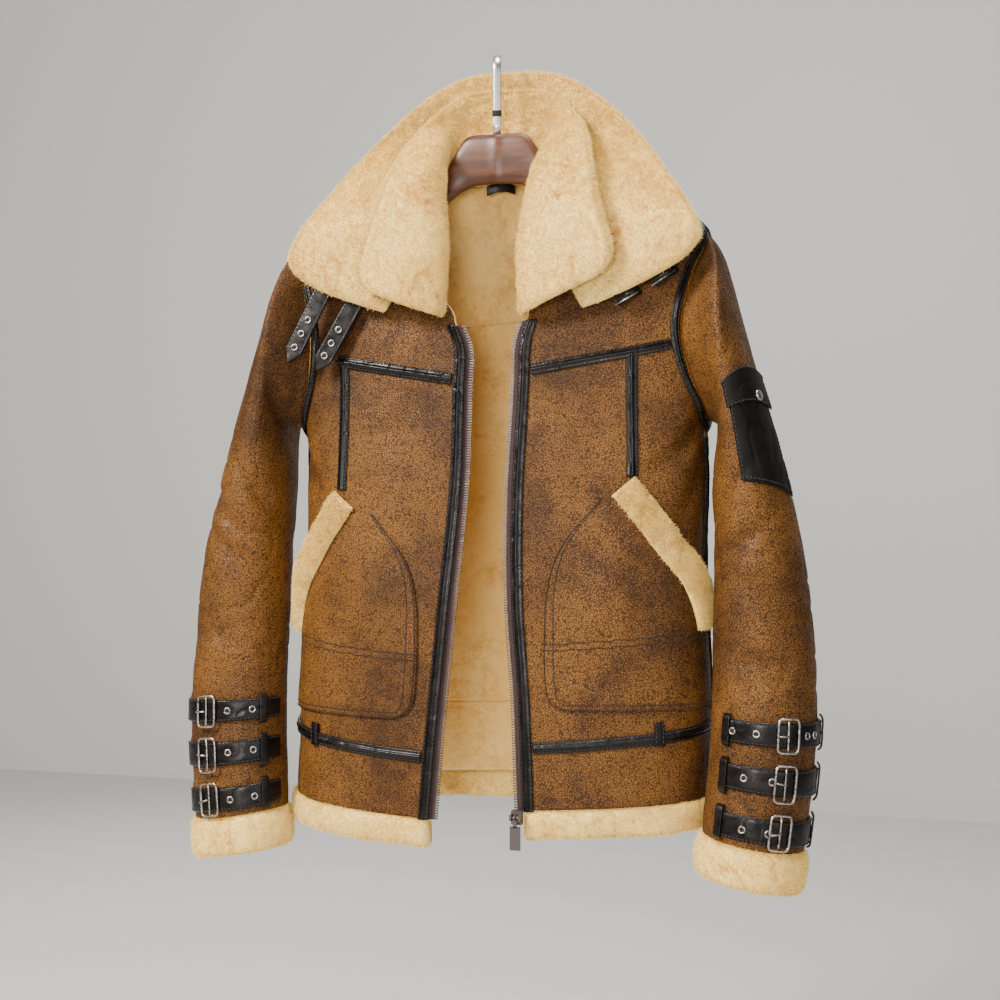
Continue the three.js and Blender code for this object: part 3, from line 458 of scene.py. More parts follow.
PANEL_EDGE, SIDE_GAP, HALF_SEAM, NAP = 7, 0.3, 0.15, 3.2
NECK, YOKE_EDGE, YOKE_SIDE, WAIST_EDGE, WAIST_SIDE = -134, -350, -318, -735, -711
HEM_EDGE, HEM_SIDE, HEM_BACK = -801, -788, -790
for name, side in SIDES:
    for part, top, low, rows, columns, flat in (
            ("yoke", (NECK, NECK), (YOKE_EDGE, YOKE_SIDE), 90, 60, (0.2, 0.235, 0.031)),
            ("front", (YOKE_EDGE, YOKE_SIDE), (WAIST_EDGE, WAIST_SIDE), 150, 84, (0.255, 0.42, 0.088)),
            ("band", (WAIST_EDGE, WAIST_SIDE), (HEM_EDGE, HEM_SIDE), 30, 84, (0.245, 0.085, 0.0178))):
        top, low = between_seams(top, low)
        u, v = grid(0, 1, columns, 0, 1, rows)
        inner_z, side_z = mixed(top[0], low[0], v), mixed(top[1], low[1], v)
        t = mixed(edge_angle(side, inner_z, PANEL_EDGE), side_angle(side_z, "front") - SIDE_GAP, u)
        p = body(side, t, mixed(inner_z, side_z, u))
        panel(f"{part}_{name}", p, 30 + side)

# The back: a yoke, one wide panel and a band, sewn to the fronts at the sides and the shoulders.
# Its wool shows through the open front, so its nap has fibres of its own.
FIBRE_WIDTH, DROOP = 0.65, np.array((0, 0, -0.2))


def fibres(name, p, n, count, length, seed, paint, wrap=False):
    """Short wool fibres standing on a grid of points p with normals n, one thin blade each."""
    rng = np.random.default_rng(seed)
    nv, nu = p.shape[:2]
    a = rng.random(count) * (nu if wrap else nu - 1)
    b = rng.random(count) * (nv - 1)
    i, j = a.astype(int), np.minimum(b.astype(int), nv - 2)
    fa, fb = (a - i)[:, None], (b - j)[:, None]
    i2 = (i + 1) % nu
    row = lambda g, j: g[j, i] * (1 - fa) + g[j, i2] * fa
    base, up = (row(g, j) * (1 - fb) + row(g, j + 1) * fb for g in (p, n))
    clump = np.stack([noise(base, 9, seed + k) for k in range(3)], -1)
    way = unit(up + 0.5 * clump + 0.4 * rng.normal(size=(count, 3)) + DROOP)
    long = length * (0.6 + 0.8 * rng.random((count, 1)))
    side = unit(np.cross(way, rng.normal(size=(count, 3)))) * FIBRE_WIDTH / 2
    base = base - up * 0.6
    vertices = np.stack([base - side, base + side, base + way * long], 1).reshape(-1, 3)
    # Each fibre has painted shade at its foot, darkest there and gone at its tip.
    depth = np.tile([0.25, 0.25, 1.0], count) * np.repeat(0.75 + 0.25 * rng.random(count), 3)
    return mesh(name, vertices, [np.arange(3 * count).reshape(-1, 3)], paint, flat=True, depth=depth)


BACK_YOKE, BACK_YOKE_SIDE = -282, -300
for part, top, low, rows, flat, fur in (
        ("back_yoke", (NECK, NECK), (BACK_YOKE, BACK_YOKE_SIDE), 80, (0.5, 0.17, 0.073), 30000),
        ("back", (BACK_YOKE, BACK_YOKE_SIDE), (WAIST_SIDE, WAIST_SIDE), 150, (0.53, 0.43, 0.218), 90000),
        ("back_band", (WAIST_SIDE, WAIST_SIDE), (HEM_BACK, HEM_BACK), 32, (0.54, 0.088, 0.047), 16000)):
    top, low = between_seams(top, low)
    u, v = grid(-1, 1, 150, 0, 1, rows)
    w = np.abs(u)
    back_z, side_z = mixed(top[0], low[0], v), mixed(top[1], low[1], v)
    t = mixed(180, side_angle(side_z, "back") + SIDE_GAP, w)
    p = body(np.where(u < 0, -1, 1), t, mixed(back_z, side_z, w))
    panel(part, p, 40, fur)

# The sleeves: full tubes of the same hide and wool that hang a little forward from the armholes.
# They crease at the elbow and above the straps.
LEAN_IN = {-1: 7, 1: 0}
SLEEVE_STEP = 70
SLEEVE = Table("s outX outZ inX inZ y deep", [
    [1, 247, -226, 242, -402, -6, 60], [2, 267, -294, 243, -411, -10, 61],
    [3, 285, -356, 241, -424, -14, 60], [4, 301, -410, 238, -449, -17, 58],
    [5, 318, -472, 238, -496, -20, 56], [6, 332, -537, 239, -550, -24, 54],
    [7, 341, -610, 239, -618, -29, 51], [8, 345, -688, 240, -684, -36, 49],
    [9, 342, -757, 237, -745, -42, 48], [10, 334, -828, 232, -812, -50, 46]])
SLEEVE_FOLDS = [  # side phi s lean length width depth
    [-1, 70, 5.3, 25, 45, 11, -6], [-1, 95, 5.9, 20, 50, 12, -5], [-1, 110, 4.6, 30, 40, 12, -5],
    [-1, 60, 7.2, -15, 40, 10, -3], [1, 100, 5.6, 25, 45, 12, -6], [1, 60, 6.6, -25, 50, 11, -5],
    [1, 75, 7.4, -15, 45, 10, -4], [1, 115, 4.7, 30, 40, 12, -5], [-1, 260, 5.4, -20, 50, 13, -5],
    [1, 265, 5.2, 20, 50, 13, -5], [1, 250, 6.4, -10, 45, 11, -4]]


def armhole_line(phi):
    """The armhole's edge at phi degrees from its top through its front, as t and z of the body."""
    c, s = (1 + np.cos(np.radians(phi))) / 2, np.sin(np.radians(phi))
    z = mixed(ARMHOLE_LOW, ARMHOLE_TOP, c)
    return np.where(s > 0, side_angle(z, "front"), side_angle(z, "back")), z


def sleeve_ring(side, phi, k):
    c, s = (1 + np.cos(np.radians(phi))) / 2, np.sin(np.radians(phi))
    hole = body(side, *armhole_line(phi))
    hole[..., 0] += side * 1.1
    k1 = np.clip(k, 1, 10)
    x, z = mixed(SLEEVE("inX", k1), SLEEVE("outX", k1), c), mixed(SLEEVE("inZ", k1), SLEEVE("outZ", k1), c)
    ring = points(side * x + LEAN_IN[side], SLEEVE("y", k1) - SLEEVE("deep", k1) * s, z)
    return np.where((np.asarray(k) <= 0)[..., None], hole, ring)


def sleeve_centre(side, s):
    s = np.clip(s, 1, 10)
    x, z = (SLEEVE("inX", s) + SLEEVE("outX", s)) / 2, (SLEEVE("inZ", s) + SLEEVE("outZ", s)) / 2
    return points(side * x + LEAN_IN[side], SLEEVE("y", s), z)


def sleeve(side, phi, s):
    """A point on the outside of a sleeve: phi is degrees from its outer side through its front."""
    phi, s = np.broadcast_arrays(np.asarray(phi, float), np.asarray(s, float))
    i = np.clip(np.floor(s), 0, 9)
    t = (s - i)[..., None]
    a, b, c, d = (sleeve_ring(side, phi, i + k) for k in (-1, 0, 1, 2))
    p = 0.5 * (2 * b + (c - a) * t + (2 * a - 5 * b + 4 * c - d) * t * t + (3 * b - a - 3 * c + d) * t ** 3)
    rows = [[w, f, z * SLEEVE_STEP, *rest] for w, f, z, *rest in SLEEVE_FOLDS]
    way = unit((p - sleeve_centre(side, s)) * [1, 1, 0])
    return p + way * folds(rows, side, phi % 360, s * SLEEVE_STEP, 1)[..., None]


for name, side in SIDES:
    phi, s = grid(0, 358, 180, 0, 10, 200)
    p = sleeve(side, phi, s)
    n = normals(p, True)
    n *= np.sign(n[100, 0, 0] * side)
    # At the armhole the wall goes in along the hole's plane, and further down along the normal.
    flat_in = unit(points(0, -4 * p[..., 1], (ARMHOLE_TOP + ARMHOLE_LOW) / 2 - 0.5 - p[..., 2]))
    way = unit(mixed(flat_in, -n, smooth(0, 1.2, s)[..., None]))
    high = tufts(p, 60)
    calm = smooth(0, 0.4, s) * smooth(10, 9.7, s)
    creases = -1.3 * bell(noise(p * np.array([0.5, 0.5, 1]), 26, 70 + side), 0.1)
    creases = creases * smooth(3.6, 4.6, s) * smooth(8.6, 7.4, s)
    outer = p + n * (calm * (wrinkle(p) + creases))[..., None]
    pressed = 1 - 0.55 * smooth(-3, 0.4, s) * smooth(3.2, 1.8, s)
    inner = p + way * ((HIDE + 1.1 * high) * pressed)[..., None]
    # The wool's depth values follow its tufts, so its painted shade deepens in the partings.
    depth = (np.ones_like(high), 0.5 + 0.5 * high)
    o = shell(f"sleeve_{name}", outer, inner, (leather, lining_wool), True, depth, rim=1)
    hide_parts(f"top_sleeve_{name}", f"under_sleeve_{name}")

# Fur bands at the cuffs and along the hem: rolled shearling, its wool outwards, sewn under the hide's edge.
# The wool is cream at the tips, and the apricot down in the partings is painted shade.
wool = wool_paint("wool", (1.0, 0.765, 0.27), (0.62, 0.3, 0.06))
CUFF_FUR, HEM_FUR, FUR_THICK, FUR_LONG = 40, 29, 17, 3.9


class Heap:
    """Many solids of one material, joined into one mesh."""

    def __init__(self):
        self.vertices, self.faces, self.count = [], [], 0

    def add(self, vertices, *faces):
        vertices = vertices.reshape(-1, 3)
        turn = 1 if volume(vertices - vertices.mean(0), *faces) > 0 else -1
        self.faces += [f[:, ::turn] + self.count for f in faces]
        self.vertices.append(vertices)
        self.count += len(vertices)

    def loft(self, rings, closed):
        """A solid through rings of corners. It is a ring itself when closed, and else it has flat ends."""
        m, k = rings.shape[:2]
        faces = quads(k, m, True)
        a, b = np.arange(k), (np.arange(k) + 1) % k
        last = (m - 1) * k
        if closed:
            self.add(rings, np.concatenate([faces, np.stack([last + a, last + b, b, a], -1)]))
            return
        ends = np.stack([rings[0].mean(0), rings[-1].mean(0)])
        first_cap = np.stack([b, a, np.full(k, m * k)], -1)
        last_cap = np.stack([last + a, last + b, np.full(k, m * k + 1)], -1)
        self.add(np.concatenate([rings.reshape(-1, 3), ends]), faces, first_cap, last_cap)

    def tube(self, path, radius, sides, closed=False):
        if closed:
            way = unit(np.roll(path, -1, 0) - np.roll(path, 1, 0))
            guide = np.cross(path[1] - path[0], path[len(path) // 2] - path[0])
        else:
            way = unit(np.gradient(path, axis=0))
            guide = np.cross(way[0], [0.31, 0.2, 0.93])
        side = unit(np.cross(way, guide))
        up = np.cross(side, way)
        t = around(sides)[:, None]
        self.loft(path[:, None] + radius * (np.cos(t) * side[:, None] + np.sin(t) * up[:, None]), closed)

    def boxes(self, middle, along, up, size):
        across = unit(np.cross(up, along))
        up = np.cross(along, across)
        ways = [w * s / 2 for w, s in zip((along, across, up), size)]
        corners = np.stack([middle + a * ways[0] + b * ways[1] + c * ways[2]
                            for c in (-1, 1) for a, b in ((-1, -1), (1, -1), (1, 1), (-1, 1))], 1)
        faces = np.array([[3, 2, 1, 0], [4, 5, 6, 7], [0, 1, 5, 4], [1, 2, 6, 5], [2, 3, 7, 6], [3, 0, 4, 7]])
        starts = self.count + 8 * np.arange(len(corners))
        self.vertices.append(corners.reshape(-1, 3))
        self.faces.append((faces + starts[:, None, None]).reshape(-1, 4))
        self.count += 8 * len(corners)

    def block(self, middle, size):
        self.boxes(np.array([middle], float), np.array([[1.0, 0, 0]]), np.array([[0, 0, 1.0]]), size)

    def make(self, name, paint, body=BODY_NAME, flat=False, depth=None):
        return mesh(name, np.concatenate(self.vertices), self.faces, paint, body, flat=flat, depth=depth)


def squircle(a):
    """How far a rounded square of half width 1 reaches at the angles a."""
    return (np.abs(np.cos(a)) ** 3 + np.abs(np.sin(a)) ** 3) ** (-1 / 3)


def fur_band(name, core, out, up, height, seed, count, closed):
    """A roll of wool: core is its middle line, out and up are its two ways across."""
    a = around(36)
    c, s = np.cos(a)[:, None], np.sin(a)[:, None]
    q = squircle(a)[:, None]
    core, out, up = core[:, None], out[:, None], up[:, None]  # rows along the band, columns round it
    p = core + c * q * (FUR_THICK / 2 - 1.6) * out + s * q * (height / 2 - 1.2) * up
    way = unit(c * out + s * up)
    high = tufts(p, seed)
    p = p + way * (1.8 * high)[..., None]
    heap = Heap()
    heap.loft(p, closed)
    # The wool's depth values follow its tufts, so its painted shade deepens in the partings.
    o = heap.make(name, wool, depth=np.append(0.5 + 0.5 * high.ravel(), [] if closed else [0.5, 0.5]))
    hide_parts(name)
    if closed:
        p, way = np.concatenate([p, p[:1]]), np.concatenate([way, way[:1]])
    fibres(name + "_fibres", p, way, count, FUR_LONG, seed, wool, wrap=True)


for name, side in SIDES:
    edge, middle = sleeve(side, np.degrees(around(108)), 10), sleeve_centre(side, 10.0)
    out, down = unit(edge - middle), unit(middle - sleeve_centre(side, 9.5))
    core = edge - out * 3 + down * (CUFF_FUR / 2 + 0.7)
    down = np.broadcast_to(down, out.shape)
    fur_band(f"cuff_fur_{name}", core, out, down, CUFF_FUR, 100 + side, 26000, True)
SIDE_END, EDGE_INSET = 90 - SIDE_GAP, 10
u, w = np.linspace(0, 1, 110), np.linspace(-1, 1, 190)
lines = [body(side, mixed(edge_angle(side, HEM_EDGE, EDGE_INSET), SIDE_END, u), mixed(HEM_EDGE, HEM_SIDE, u))
         for side in (-1, 1)]
lines.append(body(np.where(w < 0, -1, 1), 180 - SIDE_END * np.abs(w), HEM_BACK))
for name, p, count, flat in (
        ("left", lines[0], 26000, (0.235, 0.033)),
        ("right", lines[1], 26000, (0.235, 0.033)),
        ("back", lines[2], 40000, (0.54, 0.035))):
    out = unit(p * [1, 1, 0] - [SWAY, 0, 0])
    core = p + out * (1 - HIDE / 2) - [0, 0, HEM_FUR / 2 + 0.5]
    up = np.broadcast_to([0, 0, 1.0], out.shape)
    fur_band(f"hem_fur_{name}", core, out, up, HEM_FUR, 120, count, False)

# The two collars: shearling with the long wool side shown, sewn into the neck seam one inside the other.
# Each station has a point of the neck seam (n), two of the roll (f, g) and one of the free edge (e).
STATION = "w nx ny nz fx fy fz gx gy gz ex ey ez"
LOWERED = 11
OUTER = [
    [0, 0, 44.8, -142, 0, 53, -86, 0, 58, -46, 0, 57, -8],
    [0.14, 47, 39.8, -141, 52, 46, -88, 57, 52, -50, 58, 52, -15],
    [0.28, 79, 24, -130, 90, 30, -97, 102, 35, -68, 110, 36, -48],
    [0.42, 91, 2, -128, 112, 6, -112, 134, 12, -98, 152, 16, -92],
    [0.56, 90, -22, -138, 122, -20, -140, 154, -14, -136, 182, -4, -132],
    [0.7, 84, -40, -168, 124, -42, -172, 168, -38, -168, 208, -24, -168],
    [0.84, 78, -48, -212, 130, -54, -212, 182, -56, -200, 226, -44, -198],
    [1, 104, -58, -282, 140, -60, -270, 188, -60, -248, 232, -55, -221]]
INNER = [
    [0, 0, 24.9, -138, 0, 35, -94, 0, 40, -62, 0, 38, -31],
    [0.14, 37, 20.3, -137, 42, 29, -95, 47, 34, -64, 50, 33, -37],
    [0.28, 61, 10, -126, 61, 8, -104, 69, 10, -84, 86, 14, -68],
    [0.42, 69, -9, -128, 60, -20, -117, 72, -26, -104, 104, -13, -98],
    [0.56, 69, -17, -150, 54, -37, -138, 73, -49, -128, 114, -40, -126],
    [0.7, 66, -27, -185, 50, -50, -172, 75, -64, -162, 124, -60, -158],
    [0.84, 58, -37, -235, 46, -60, -222, 78, -73, -208, 138, -73, -197],
    [1, 42, -57, -288, 56, -70, -282, 100, -79, -263, 152, -76, -240]]


def collar_at(rows, u, v):
    """A point of a collar: u runs round the neck from -1 to 1 and v from the seam to the free edge."""
    near = rows[1]
    mirrored = [[-near[0]] + [-x if i % 3 == 0 else x for i, x in enumerate(near[1:])]] + rows
    table, w = Table(STATION, mirrored), np.abs(u)
    side = np.where(u < 0, -1, 1)
    shift, drop = (np.where(u < 0, LOWERED * smooth(a, b, w), 0) for a, b in ((0.1, 0.45), (0.6, 1)))
    p = [points(side * table(k + "x", w) + shift * share, table(k + "y", w), table(k + "z", w) - drop * share)
         for k, share in zip("nfge", (0, 0.1, 0.7, 1))]
    i = np.clip(np.floor(v * 3).astype(int), 0, 2)
    t = (v * 3 - i)[..., None]
    stack = np.stack(p)
    pick = lambda k: np.take_along_axis(stack, np.clip(k, 0, 3)[None, ..., None], 0)[0]
    a, b = pick(i), pick(i + 1)
    slope = lambda k: (pick(k + 1) - pick(k - 1)) / np.where((k == 0) | (k == 3), 1, 2)[..., None]
    h = t * t * (3 - 2 * t)
    return a * (1 - h) + b * h + slope(i) * (t - 2 * t * t + t ** 3) + slope(i + 1) * (t ** 3 - t * t)


for name, rows, thick, count, flat in (
        ("outer_collar", OUTER, 15, 120000, (0.62, 0.15, 0.074)),
        ("inner_collar", INNER, 14, 110000, (0.52, 0.145, 0.061))):
    u, v = grid(-1, 1, 420, 0, 1, 110)
    corner = 1 - np.sqrt(1 - np.clip((np.abs(u) - 0.9) / 0.1, 0, 1) ** 2)
    p = collar_at(rows, u, mixed(0.05 * corner, 1 - 0.17 * corner, v))
    n = normals(p)
    n *= -np.sign(n[0, 210, 1])
    round_edge = (1 - np.abs(2 * v - 1) ** 12) ** 0.5 * (1 - np.abs(u) ** 40) ** 0.5
    high = tufts(p, 80 + len(rows) + thick, 9)
    lip = 3.2 * bell(1 - v, 0.09) + 2.4 * bell(1 - np.abs(u), 0.04)
    front = p + n * (round_edge * (thick / 2 - 1.5 + lip + 1.9 * high) + 0.2)[..., None]
    back = p - n * (round_edge * (thick / 2 - 1) + 0.2)[..., None]
    # The wool's depth values follow its tufts, and the cut edge darkens towards the back. Both are painted
    # shade.
    o = shell(name, front, back, (wool, leather), depth=(0.5 + 0.5 * high, 0.4 + 0.3 * high), rim=0)
    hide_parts(name)
    fibres(name + "_fibres", front, n, count, FUR_LONG, 90 + thick, wool)
    over_edge = (n * 0.4 + unit(np.gradient(p, axis=0)))[-6:]
    fibres(name + "_edge_fibres", front[-6:], over_edge, 14000, FUR_LONG + 0.3, 95 + thick, wool)

# The strips over the seams: black leather folded over a cord, sewn down along both edges.
# They run along the yokes, down from them, round the armholes, down the sides and along the waist.
black = Paint("black_leather", roughness=0.3, specular_ior_level=0.26)
grain = black.noise(1.6, 3, 0.6)
black.set(
    Base_Color=black.mix(
        black.ramp(black.noise(20, 3), 0.4, 0.7), (0.0025, 0.0018, 0.0016), (0.008, 0.005, 0.004)),
    Roughness=black.ramp(black.noise(9, 3) + grain * 0.3, 0.3, 0.9, 0.2, 0.4))
black.bump(grain + black.noise(9, 2) * 0.8, 0.25, 0.4)
thread = Paint("thread", base_color=(0.014, 0.01, 0.008, 1), roughness=0.7)
TRIM, LIFT, CORD, EDGE = 12, 0.9, 2.0, 1.5
STITCH, STITCH_LONG, SEWN_IN, ON_TOP = 4.4, 3.1, 1.6, 0.15
FACING_NEAR, FACING_WIDTH = 6, 12
DEGREE_LONG = 3  # millimetres for a degree round the body, near an armhole
threads = Heap()


def ribbon(side, path, width):
    """Points of a strip, u along it and v from -1 to 1 across."""
    def at(u, v):
        t, z = path("t", u), path("z", u)
        a, b = np.maximum(0, u - 0.02), np.minimum(1, u + 0.02)
        m = np.linalg.norm(body(side, t + 0.5, z) - body(side, t - 0.5, z), axis=-1)
        dt, dz = (path("t", b) - path("t", a)) * m, path("z", b) - path("z", a)
        long = np.hypot(dt, dz)
        return body(side, t - dz / long * width / 2 * v / m, z + dt / long * width / 2 * v)
    return at


def sewn(p, n, inset):
    """Stitches along both long edges of a strip given as a grid of surface points."""
    for row, inner in ((0, 1), (-1, -2)):
        stitch(threads, p[row] + unit(p[inner] - p[row]) * inset, n[row], ON_TOP)


def stitch(heap, line, n, lift, pitch=STITCH, long=STITCH_LONG):
    step = np.linalg.norm(np.diff(line, axis=0), axis=-1)
    run = np.concatenate([[0], np.cumsum(step)])
    at = np.arange(pitch / 2, run[-1], pitch)
    pick = lambda g, w: np.stack([np.interp(w, run, g[:, k]) for k in range(3)], -1)
    way, up = unit(pick(line, at + 0.8) - pick(line, at - 0.8)), pick(n, at)
    heap.boxes(pick(line, at) + up * lift, way, up, (long, 0.95, 0.75))


def strip(at, rows, low=LIFT, rise=EDGE, cord=CORD, start=0, end=1):
    """The two sides of a strip with a raised cord down its middle, low above the hide and sewn to it."""
    u, v = grid(start, end, rows, -1, 1, 17)
    p, n = skin(at(u, v))
    low = (low(u) if callable(low) else low) + 0 * v
    rise = rise + cord * bell(v, 0.3) + 0.25 * noise(p, 7, 3) - 0.5 * np.abs(v) ** 8
    outer, inner = p + n * (low + rise)[..., None], p + n * low[..., None]
    sewn(outer, n, SEWN_IN)
    return outer, inner


def black_piece(name, pieces):
    """One named strip from one or more walls."""
    heap = Heap()
    for outer, inner in pieces:
        heap.add(*wall(outer, inner))
    o = heap.make(name, black)
    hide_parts(name)


def half_seam(side, edge_z, side_z, end, by=0.0):
    """The line of a front's seam, from the zip's facing to a share of the way to the side."""
    t0, t1 = edge_angle(side, edge_z, PANEL_EDGE), side_angle(side_z, "front")
    beside_facing = edge_angle(side, edge_z, FACING_NEAR + FACING_WIDTH + 1.8)
    u = np.linspace((beside_facing - t0) / (t1 - t0), end, 7)
    return Table("u t z", points(np.linspace(0, 1, 7), mixed(t0, t1, u), mixed(edge_z, side_z, u) + by))


def armhole_ring(side, near, far):
    """Points of a strip round the armhole, from near to far millimetres off its edge."""
    def at(phi, v):
        (t, z), (ta, za), (tb, zb) = (armhole_line(phi + step) for step in (0, -8, 8))
        dt, dz = (tb - ta) * DEGREE_LONG, zb - za
        off = mixed(near, far, (1 + v) / 2) / np.hypot(dt, dz)
        return body(side, t + dz * off / DEGREE_LONG, z - dt * off)
    return at


UPRIGHT, TAB_T, YOKE_TRIM_END = {-1: 160, 1: 153}, {-1: 51, 1: 49}, {-1: 0.73, 1: 0.89}
UPRIGHT_LOW, BELOW_WAIST = -462, -4
for name, side in SIDES:
    t = float(front_angle(UPRIGHT[side], float(YOKE_EDGE)))
    t0, t1 = edge_angle(side, YOKE_EDGE, PANEL_EDGE), side_angle(YOKE_SIDE, "front")
    top = mixed(YOKE_EDGE, YOKE_SIDE, (t - t0) / (t1 - t0))
    foot = float(front_angle(UPRIGHT[side] + 2, -455.0))
    upright = Table("u t z", [[0, t, top - 2], [1, foot, UPRIGHT_LOW]])
    seam = half_seam(side, YOKE_EDGE, YOKE_SIDE, YOKE_TRIM_END[side])
    walls = [strip(ribbon(side, upright, TRIM), 80, 0.5, EDGE - 0.2), strip(ribbon(side, seam, TRIM), 140)]
    black_piece(f"yoke_trim_{name}", walls)
    waist = half_seam(side, WAIST_EDGE, WAIST_SIDE, 0.95, BELOW_WAIST)
    tab = Table("u t z", [[0, TAB_T[side], -711], [1, TAB_T[side], -735]])
    walls = [strip(ribbon(side, waist, TRIM), 180), strip(ribbon(side, tab, 10), 24, LIFT + 1.2, 2.6, 0.3)]
    black_piece(f"waist_trim_{name}", walls)
    low = lambda phi: 1.5 + 1.5 * smooth(70, 15, np.abs(phi - 360))
    ring_round = armhole_ring(side, 2.5, 13.5)
    black_piece(f"armhole_trim_{name}", [strip(ring_round, 320, low, start=180.4, end=539.6)])
    side_seam = Table("u t z", [[0, 90, -418], [1, 90, -702]])
    black_piece(f"side_trim_{name}", [strip(ribbon(side, side_seam, 9), 140)])
back_waist = lambda u, v: body(
    np.where(u < 0, -1, 1), 180 - 84 * np.abs(u), WAIST_SIDE + BELOW_WAIST + v * TRIM / 2)
black_piece("waist_trim_back", [strip(back_waist, 300, 1.4, start=-1)])

# The zip: a woven tape with metal teeth along each front edge.
# A leather facing is sewn over the tape's back edge.
tape = Paint("zip_tape", roughness=0.85)
weave = tape.ramp(tape.noise(0.9, 1), 0.4, 0.6)
tape.set(Base_Color=tape.mix(weave, (0.016, 0.006, 0.007), (0.045, 0.018, 0.018)))
teeth_metal = Paint("zip_metal", metallic=1.0, roughness=0.42, base_color=(0.14, 0.12, 0.115, 1))
TEETH_PITCH, ZIP_LONG, ZIP_START, ZIP_END = 2.7, 512, -293, -802
for name, side in SIDES:
    def beside(u, v, near, far):
        z = mixed(ZIP_START, ZIP_END, u)
        return body(side, edge_angle(side, z, mixed(near, far, (1 + v) / 2)), z)
    facing = lambda u, v: beside(u, v, FACING_NEAR, FACING_NEAR + FACING_WIDTH)
    black_piece(f"zip_facing_{name}", [strip(facing, 340, 0.7)])
    u, v = grid(0, 1, 240, -1, 1, 7)
    p, n = skin(beside(u, v, 0.4, 9))
    o = shell(f"zip_{name}", p - n * 2.0, p - n * 3.2, tape)
    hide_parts(f"zip_{name}")
    u, v = grid(0.002, 0.998, int(ZIP_LONG / TEETH_PITCH), -1, 1, 3)
    p, n = skin(beside(u, v, -2.2, 1.8))
    way = unit(np.gradient(p[1], axis=0))
    teeth = Heap()
    teeth.boxes(p[1] - n[1] * 2.6, way, n[1], (1.3, 3.2, 2.4))
    teeth.boxes(p[0] - n[0] * 2.6, way, n[0], (1.7, 1.1, 2.0))
    teeth.make(f"zip_teeth_{name}", teeth_metal, flat=True)

# The slant pockets: a patch of hide on each front, its curved edge sewn twice.
# A roll of fur lies along the slit, which is at the patch's slanting outer edge.
brown_thread = Paint("brown_thread", base_color=(0.02, 0.008, 0.003, 1), roughness=0.7)
PATCH_LIFT, PATCH_THICK, PATCH_TOP, PATCH_LOW, CROSS_SEAM = 1.9, 1.5, -487, -700, 0.68
HIDE_STITCH, HIDE_STITCH_LONG, WELT_WIDTH = 3.1, 2.6, 30
WELT_TURN = {-1: 0, 1: -3}
WELT = Table("u t z", [
    [0, 41, -472], [0.2, 48, -502], [0.4, 57, -535], [0.6, 69, -566], [0.8, 76, -593], [1, 79, -616]])
POCKET = Table("z x outer", [
    [-487, 122, 45.5], [-503, 108, 47.2], [-527, 88, 51.5], [-553, 75, 63], [-587, 68, 75],
    [-610, 67, 81], [-650, 67, 86], [-682, 70, 86], [-694, 78, 86], [-700, 94, 86]])
hide_threads = Heap()
for name, side in SIDES:
    columns, rows = 90, 130
    u, v = grid(0, 1, columns, 0, 1, rows)
    z = mixed(PATCH_TOP, PATCH_LOW, v)
    p, n = skin(body(side, mixed(front_angle(POCKET("x", z), z), POCKET("outer", z), u), z))
    rounded = PATCH_THICK - 0.9 * np.exp(-u * 60) - 0.9 * np.exp(-(1 - v) * 60)
    o = shell(f"pocket_patch_{name}", p + n * (PATCH_LIFT + rounded)[..., None], p + n * PATCH_LIFT, leather)
    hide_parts(f"pocket_patch_{name}")
    outer = p + n * (PATCH_LIFT + PATCH_THICK)
    for k in (1, 4):
        line, up = (np.concatenate([g[:-k, k], g[-k - 1, k:]]) for g in (outer, n))
        stitch(hide_threads, line, up, ON_TOP, HIDE_STITCH, HIDE_STITCH_LONG)
    across, cross = np.arange(columns), int(rows * CROSS_SEAM)
    for k in (cross, cross + 4):
        bend = np.clip(k - (across * 0.12).astype(int), 0, rows - 1)
        stitch(hide_threads, outer[bend, across], n[bend, across], 0.2, HIDE_STITCH, HIDE_STITCH_LONG)
    u, v = grid(0, 1, 110, -1, 1, 40)
    lean = lambda column, w: WELT(column, w) + (WELT_TURN[side] * (1 - w) if column == "t" else 0)
    p, n = skin(ribbon(side, lean, WELT_WIDTH)(u, v))
    high = tufts(p, 140 + side)
    dome = np.sqrt(1 - np.abs(v) ** 2.2) * np.sqrt(1 - np.abs(2 * u - 1) ** 16)
    rise = 4.1 + dome * (10.4 + 1.8 * high)
    top = p + n * rise[..., None]
    # The wool's depth values follow its tufts, so its painted shade deepens in the partings.
    o = shell(f"pocket_welt_{name}", top, p + n * 3.8, wool, depth=(0.5 + 0.5 * high, 0.5 + 0 * high))
    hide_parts(f"pocket_welt_{name}")
    fibres(f"pocket_welt_{name}_fibres", top, n, 26000, FUR_LONG, 150 + side, wool)
hide_threads.make("pocket_stitches", brown_thread)

# On the photo's right sleeve, a small flapped pocket of black leather is sewn, with a press stud.
# Its leather is duller than the strips'.
pocket_black = Paint("pocket_leather", roughness=0.5, specular_ior_level=0.12)
pocket_black.set(
    Base_Color=pocket_black.mix(pocket_black.noise(9, 3), (0.0025, 0.002, 0.0018), (0.009, 0.007, 0.006)))
pocket_black.bump(pocket_black.noise(1.6, 3, 0.6), 0.3, 0.4)


def round_sleeve(phi, s, side):
    """The finished surface of a sleeve at phi and s, and its normals."""
    p = sleeve(side, phi, s)
    n = normals(p)
    way = (p - sleeve_centre(side, s)) * [1, 1, 0]
    n = n * np.sign(np.sum(n * way, -1, keepdims=True))
    return p + n * wrinkle(p)[..., None], n


